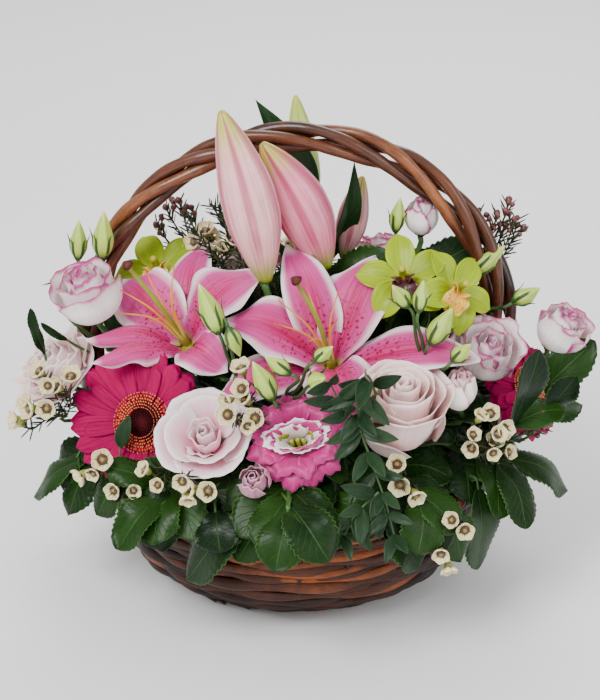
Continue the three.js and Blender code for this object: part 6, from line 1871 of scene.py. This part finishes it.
def broad_leaf(piece, root, tip, width, rng, up=None, rows=46, cols=9):
    """A glossy leaf with a finely toothed edge, and its short stalk."""
    root = vec(*root)
    tip = vec(*tip)
    length = np.linalg.norm(tip - root)
    flat = unit(root * (1, 1, 0))
    up = unit(UP + flat * 0.7 if up is None else up)
    middle = (root + tip) / 2 + up * length * 0.13
    side = unit(np.cross(tip - root, up)) * length * rng.uniform(-0.05, 0.05)
    grid = petal_grid([root, middle + side, tip], up, width, "leaf", rows=rows, cols=cols,
                      bend=rng.uniform(-0.1, 0.4), roll=rng.uniform(-0.6, 0.1), wave=rng.uniform(1.2, 3.0),
                      waves=rng.uniform(1.0, 2.2), phase=rng.uniform(0, 6), ridge=1.0, teeth=0.14,
                      tooth_count=int(rows * 0.31))
    piece.sheet(grid, 0.7, shade=rng.uniform(0.02, 0.98))
    heading = unit(middle - root)
    stalk = [root + heading * 2, root - heading * 7, root - heading * 11 - flat * 8 - UP * 5]
    piece.rod(smooth(stalk, 7), 1.1, shade=0.4, material=1)


def foliage_stem(name, azimuth, rise, length, reach, rng):
    """A leafy stem that lies over the rim, its leaves to either side in turn."""
    piece = Piece()
    last = 8
    out = around(math.radians(azimuth))
    across = np.cross(UP, out)
    start = out * reach * 0.62 + UP * rise
    end = out * reach + UP * (rise - 2)
    add_stem([end, (start + end) / 2 + UP * 4, start, start - out * 14 - UP * 10], 1.9)
    root_stem(start, -out - UP * 0.3, 1.9, run=8, inset=0.55)
    for k in range(last + 1):
        share = k / last
        hand = 1 if k % 2 else -1
        root = start + (end - start) * share + UP * 3.5 * math.sin(math.pi * share)
        angle = math.radians(hand * (80 - 60 * share) + rng.uniform(-12, 12))
        heading = out * math.cos(angle) + across * math.sin(angle)
        size = length * (1 - 0.14 * share) * rng.uniform(0.86, 1.08)
        drop = -size * (0.1 + 0.55 * share + rng.uniform(-0.1, 0.12))
        tip = root + heading * size * math.sqrt(max(0.2, 1 - (drop / size) ** 2)) + UP * drop
        broad_leaf(piece, root, tip, 36 * rng.uniform(0.85, 1.1), rng)
    settle(piece.made(name, "leaf", "stem"), "leaf_green", name)


def leaves_between(rng):
    """Leaves over the front, behind the flowers and all round the border."""
    piece = Piece()
    ring = 26
    for root, tip, width in DRAPED:
        broad_leaf(piece, root, tip, width, rng)
    for root, tip, width in UPRIGHT:
        broad_leaf(piece, root, tip, width, rng, up=(-0.1, -0.85, 0.5))
    for k in range(ring):
        turn = k / ring * TURN + rng.uniform(-0.08, 0.08)
        heading = around(turn + rng.uniform(-0.5, 0.5))
        root = around(turn) * rng.uniform(132, 146) + UP * rng.uniform(122, 132)
        tip = root + heading * rng.uniform(40, 54) + UP * rng.uniform(-30, 2)
        broad_leaf(piece, root, tip, rng.uniform(28, 36), rng)
    settle(piece.made("leaves_between", "leaf", "stem"), "leaf_green")


def filling_leaves(rng):
    """Smaller leaves over the foam and up among the flowers, wherever they clear the flowers."""
    piece = Piece()
    low = 150
    high = 90
    for k in range(low):
        turn = k * 2.4
        reach = 14 + 126 * math.sqrt((k + 0.5) / low)
        root = around(turn) * reach + UP * (146 + rng.uniform(-8, 40) - reach * 0.1)
        heading = unit(around(turn) + UP * rng.uniform(-0.1, 1.0))
        tip = root + heading * rng.uniform(38, 56)
        if clear_of_flowers(root, tip, 3.0):
            width = rng.uniform(20, 32)
            broad_leaf(piece, root, tip, width, rng, up=UP - heading * 0.4, rows=20, cols=7)
    for _ in range(high):
        root = vec(rng.uniform(-120, 135), rng.uniform(-30, 40), rng.uniform(168, 204))
        sideways = rng.uniform(-0.6, 0.6) + root[0] / 200
        heading = unit(vec(sideways, rng.uniform(-0.3, 0.5), rng.uniform(0.4, 1.0)))
        tip = root + heading * rng.uniform(38, 52)
        if clear_of_flowers(root, tip, 1.0):
            width = rng.uniform(20, 28)
            up = (rng.uniform(-0.4, 0.4), -0.8, 0.5)
            broad_leaf(piece, root, tip, width, rng, up=up, rows=20, cols=7)
    settle(piece.made("filling_leaves", "leaf", "stem"), "leaf_green")


def build_foliage():
    """Leafy stems over the rim all round, and leaves between the flowers."""
    rng = np.random.default_rng(91)
    for row in FOLIAGE:
        foliage_stem(*row, rng)
    leaves_between(rng)
    filling_leaves(rng)


def build_stems():
    """Every stem of the flowers, swept at once."""
    piece = Piece()
    piece.taken(swept(STEMS, "stem", stretch=6.0))
    settle(piece.made("cut_stems", "stem"), "stem_green", "lily_stem_front")


# Operators, the panel and the run


class Maker:
    """What every operator here shares: it builds its pieces and ends, or stops with an error."""

    bl_options = {"REGISTER", "UNDO"}
    builders = ()

    def execute(self, context):
        for builder in self.builders:
            builder()
        return {"FINISHED"}


class ARRANGEMENT_OT_basket(Maker, bpy.types.Operator):
    """Weaves the wall, the base and the border of the basket, and fills it"""

    bl_idname = "arrangement.basket"
    bl_label = "Basket"
    builders = (build_wall, build_base, build_rim, build_filling)


class ARRANGEMENT_OT_handle(Maker, bpy.types.Operator):
    """Twists the rods of the handle"""

    bl_idname = "arrangement.handle"
    bl_label = "Handle"
    builders = (build_handle,)


class ARRANGEMENT_OT_lilies(Maker, bpy.types.Operator):
    """Opens the lilies with their stamens"""

    bl_idname = "arrangement.lilies"
    bl_label = "Lilies"
    builders = (build_lilies,)


class ARRANGEMENT_OT_lily_buds(Maker, bpy.types.Operator):
    """Makes the closed lily buds and their lance leaves"""

    bl_idname = "arrangement.lily_buds"
    bl_label = "Lily buds"
    builders = (build_lily_buds,)


class ARRANGEMENT_OT_gerberas(Maker, bpy.types.Operator):
    """Makes the two gerberas"""

    bl_idname = "arrangement.gerberas"
    bl_label = "Gerberas"
    builders = (build_gerberas,)


class ARRANGEMENT_OT_orchids(Maker, bpy.types.Operator):
    """Makes the three orchids"""

    bl_idname = "arrangement.orchids"
    bl_label = "Orchids"
    builders = (build_orchids,)


class ARRANGEMENT_OT_roses(Maker, bpy.types.Operator):
    """Wraps the petals of the roses"""

    bl_idname = "arrangement.roses"
    bl_label = "Roses"
    builders = (build_roses,)


class ARRANGEMENT_OT_lisianthus(Maker, bpy.types.Operator):
    """Wraps the petals of the lisianthus"""

    bl_idname = "arrangement.lisianthus"
    bl_label = "Lisianthus"
    builders = (build_lisianthus,)


class ARRANGEMENT_OT_bud_sprays(Maker, bpy.types.Operator):
    """Makes the closed buds on thin stems"""

    bl_idname = "arrangement.bud_sprays"
    bl_label = "Bud sprays"
    builders = (build_sprays,)


class ARRANGEMENT_OT_waxflowers(Maker, bpy.types.Operator):
    """Sets the small flowers on their twigs"""

    bl_idname = "arrangement.waxflowers"
    bl_label = "Waxflowers"
    builders = (build_waxflowers,)


class ARRANGEMENT_OT_sprig(Maker, bpy.types.Operator):
    """Makes the sprig of small paired leaves"""

    bl_idname = "arrangement.sprig"
    bl_label = "Sprig"
    builders = (build_sprig,)


class ARRANGEMENT_OT_foliage(Maker, bpy.types.Operator):
    """Lays the broad leaves over the rim and between the flowers"""

    bl_idname = "arrangement.foliage"
    bl_label = "Foliage"
    builders = (build_foliage,)


class ARRANGEMENT_OT_stems(Maker, bpy.types.Operator):
    """Sweeps every stem down into the foam"""

    bl_idname = "arrangement.stems"
    bl_label = "Stems"
    builders = (build_stems,)


class ARRANGEMENT_OT_stage(Maker, bpy.types.Operator):
    """Sets the floor, the lights and the camera"""

    bl_idname = "arrangement.stage"
    bl_label = "Stage"
    builders = (build_stage,)


STEPS = (
    "basket",
    "handle",
    "lilies",
    "lily_buds",
    "gerberas",
    "orchids",
    "roses",
    "lisianthus",
    "bud_sprays",
    "waxflowers",
    "sprig",
    "foliage",
    "stems",
    "stage",
)


class ARRANGEMENT_PT_panel(bpy.types.Panel):
    """Lists the settings and the pieces that they shape"""

    bl_idname = "ARRANGEMENT_PT_panel"
    bl_label = "Flower basket"
    bl_space_type = "VIEW_3D"
    bl_region_type = "UI"
    bl_category = "Basket"

    def draw(self, context):
        for key, group in LOOKS.items():
            box = self.layout.box()
            box.label(text=group.__doc__.strip("."))
            for label in group.__annotations__:
                box.prop(getattr(context.scene, key), label)
        for label in STEPS:
            self.layout.operator("arrangement." + label)


LOOKS = {
    "basket_look": BasketSettings,
    "lily_look": LilySettings,
    "bloom_look": BloomSettings,
    "green_look": GreenSettings,
    "stage_look": StageSettings,
}
CLASSES = (
    *LOOKS.values(),
    ARRANGEMENT_OT_basket,
    ARRANGEMENT_OT_handle,
    ARRANGEMENT_OT_lilies,
    ARRANGEMENT_OT_lily_buds,
    ARRANGEMENT_OT_gerberas,
    ARRANGEMENT_OT_orchids,
    ARRANGEMENT_OT_roses,
    ARRANGEMENT_OT_lisianthus,
    ARRANGEMENT_OT_bud_sprays,
    ARRANGEMENT_OT_waxflowers,
    ARRANGEMENT_OT_sprig,
    ARRANGEMENT_OT_foliage,
    ARRANGEMENT_OT_stems,
    ARRANGEMENT_OT_stage,
    ARRANGEMENT_PT_panel,
)


def register():
    """Registers the classes and hangs the settings on the scene."""
    for kind in CLASSES:
        bpy.utils.register_class(kind)
    for key, group in LOOKS.items():
        setattr(bpy.types.Scene, key, PointerProperty(type=group))


def unregister():
    """Takes the settings and the classes away again."""
    for key in LOOKS:
        delattr(bpy.types.Scene, key)
    for kind in reversed(CLASSES):
        bpy.utils.unregister_class(kind)


def make_groups():
    """Makes the node groups that the finishes, the strips and the set heads use."""
    petal_group()
    spot_group()
    leaf_group()
    wood_group()
    skin_group()
    TREES["sweep"] = sweep_tree()
    TREES["scatter"] = scatter_tree()


def make_finishes():
    """Makes every material."""
    make_willow()
    make_lily_finishes()
    make_gerbera_finishes()
    make_rose_finishes()
    make_green_finishes()


def main():
    """Builds every piece in order."""
    register()
    make_groups()
    make_finishes()
    for label in STEPS:
        getattr(bpy.ops.arrangement, label)()


if __name__ == "__main__":
    main()
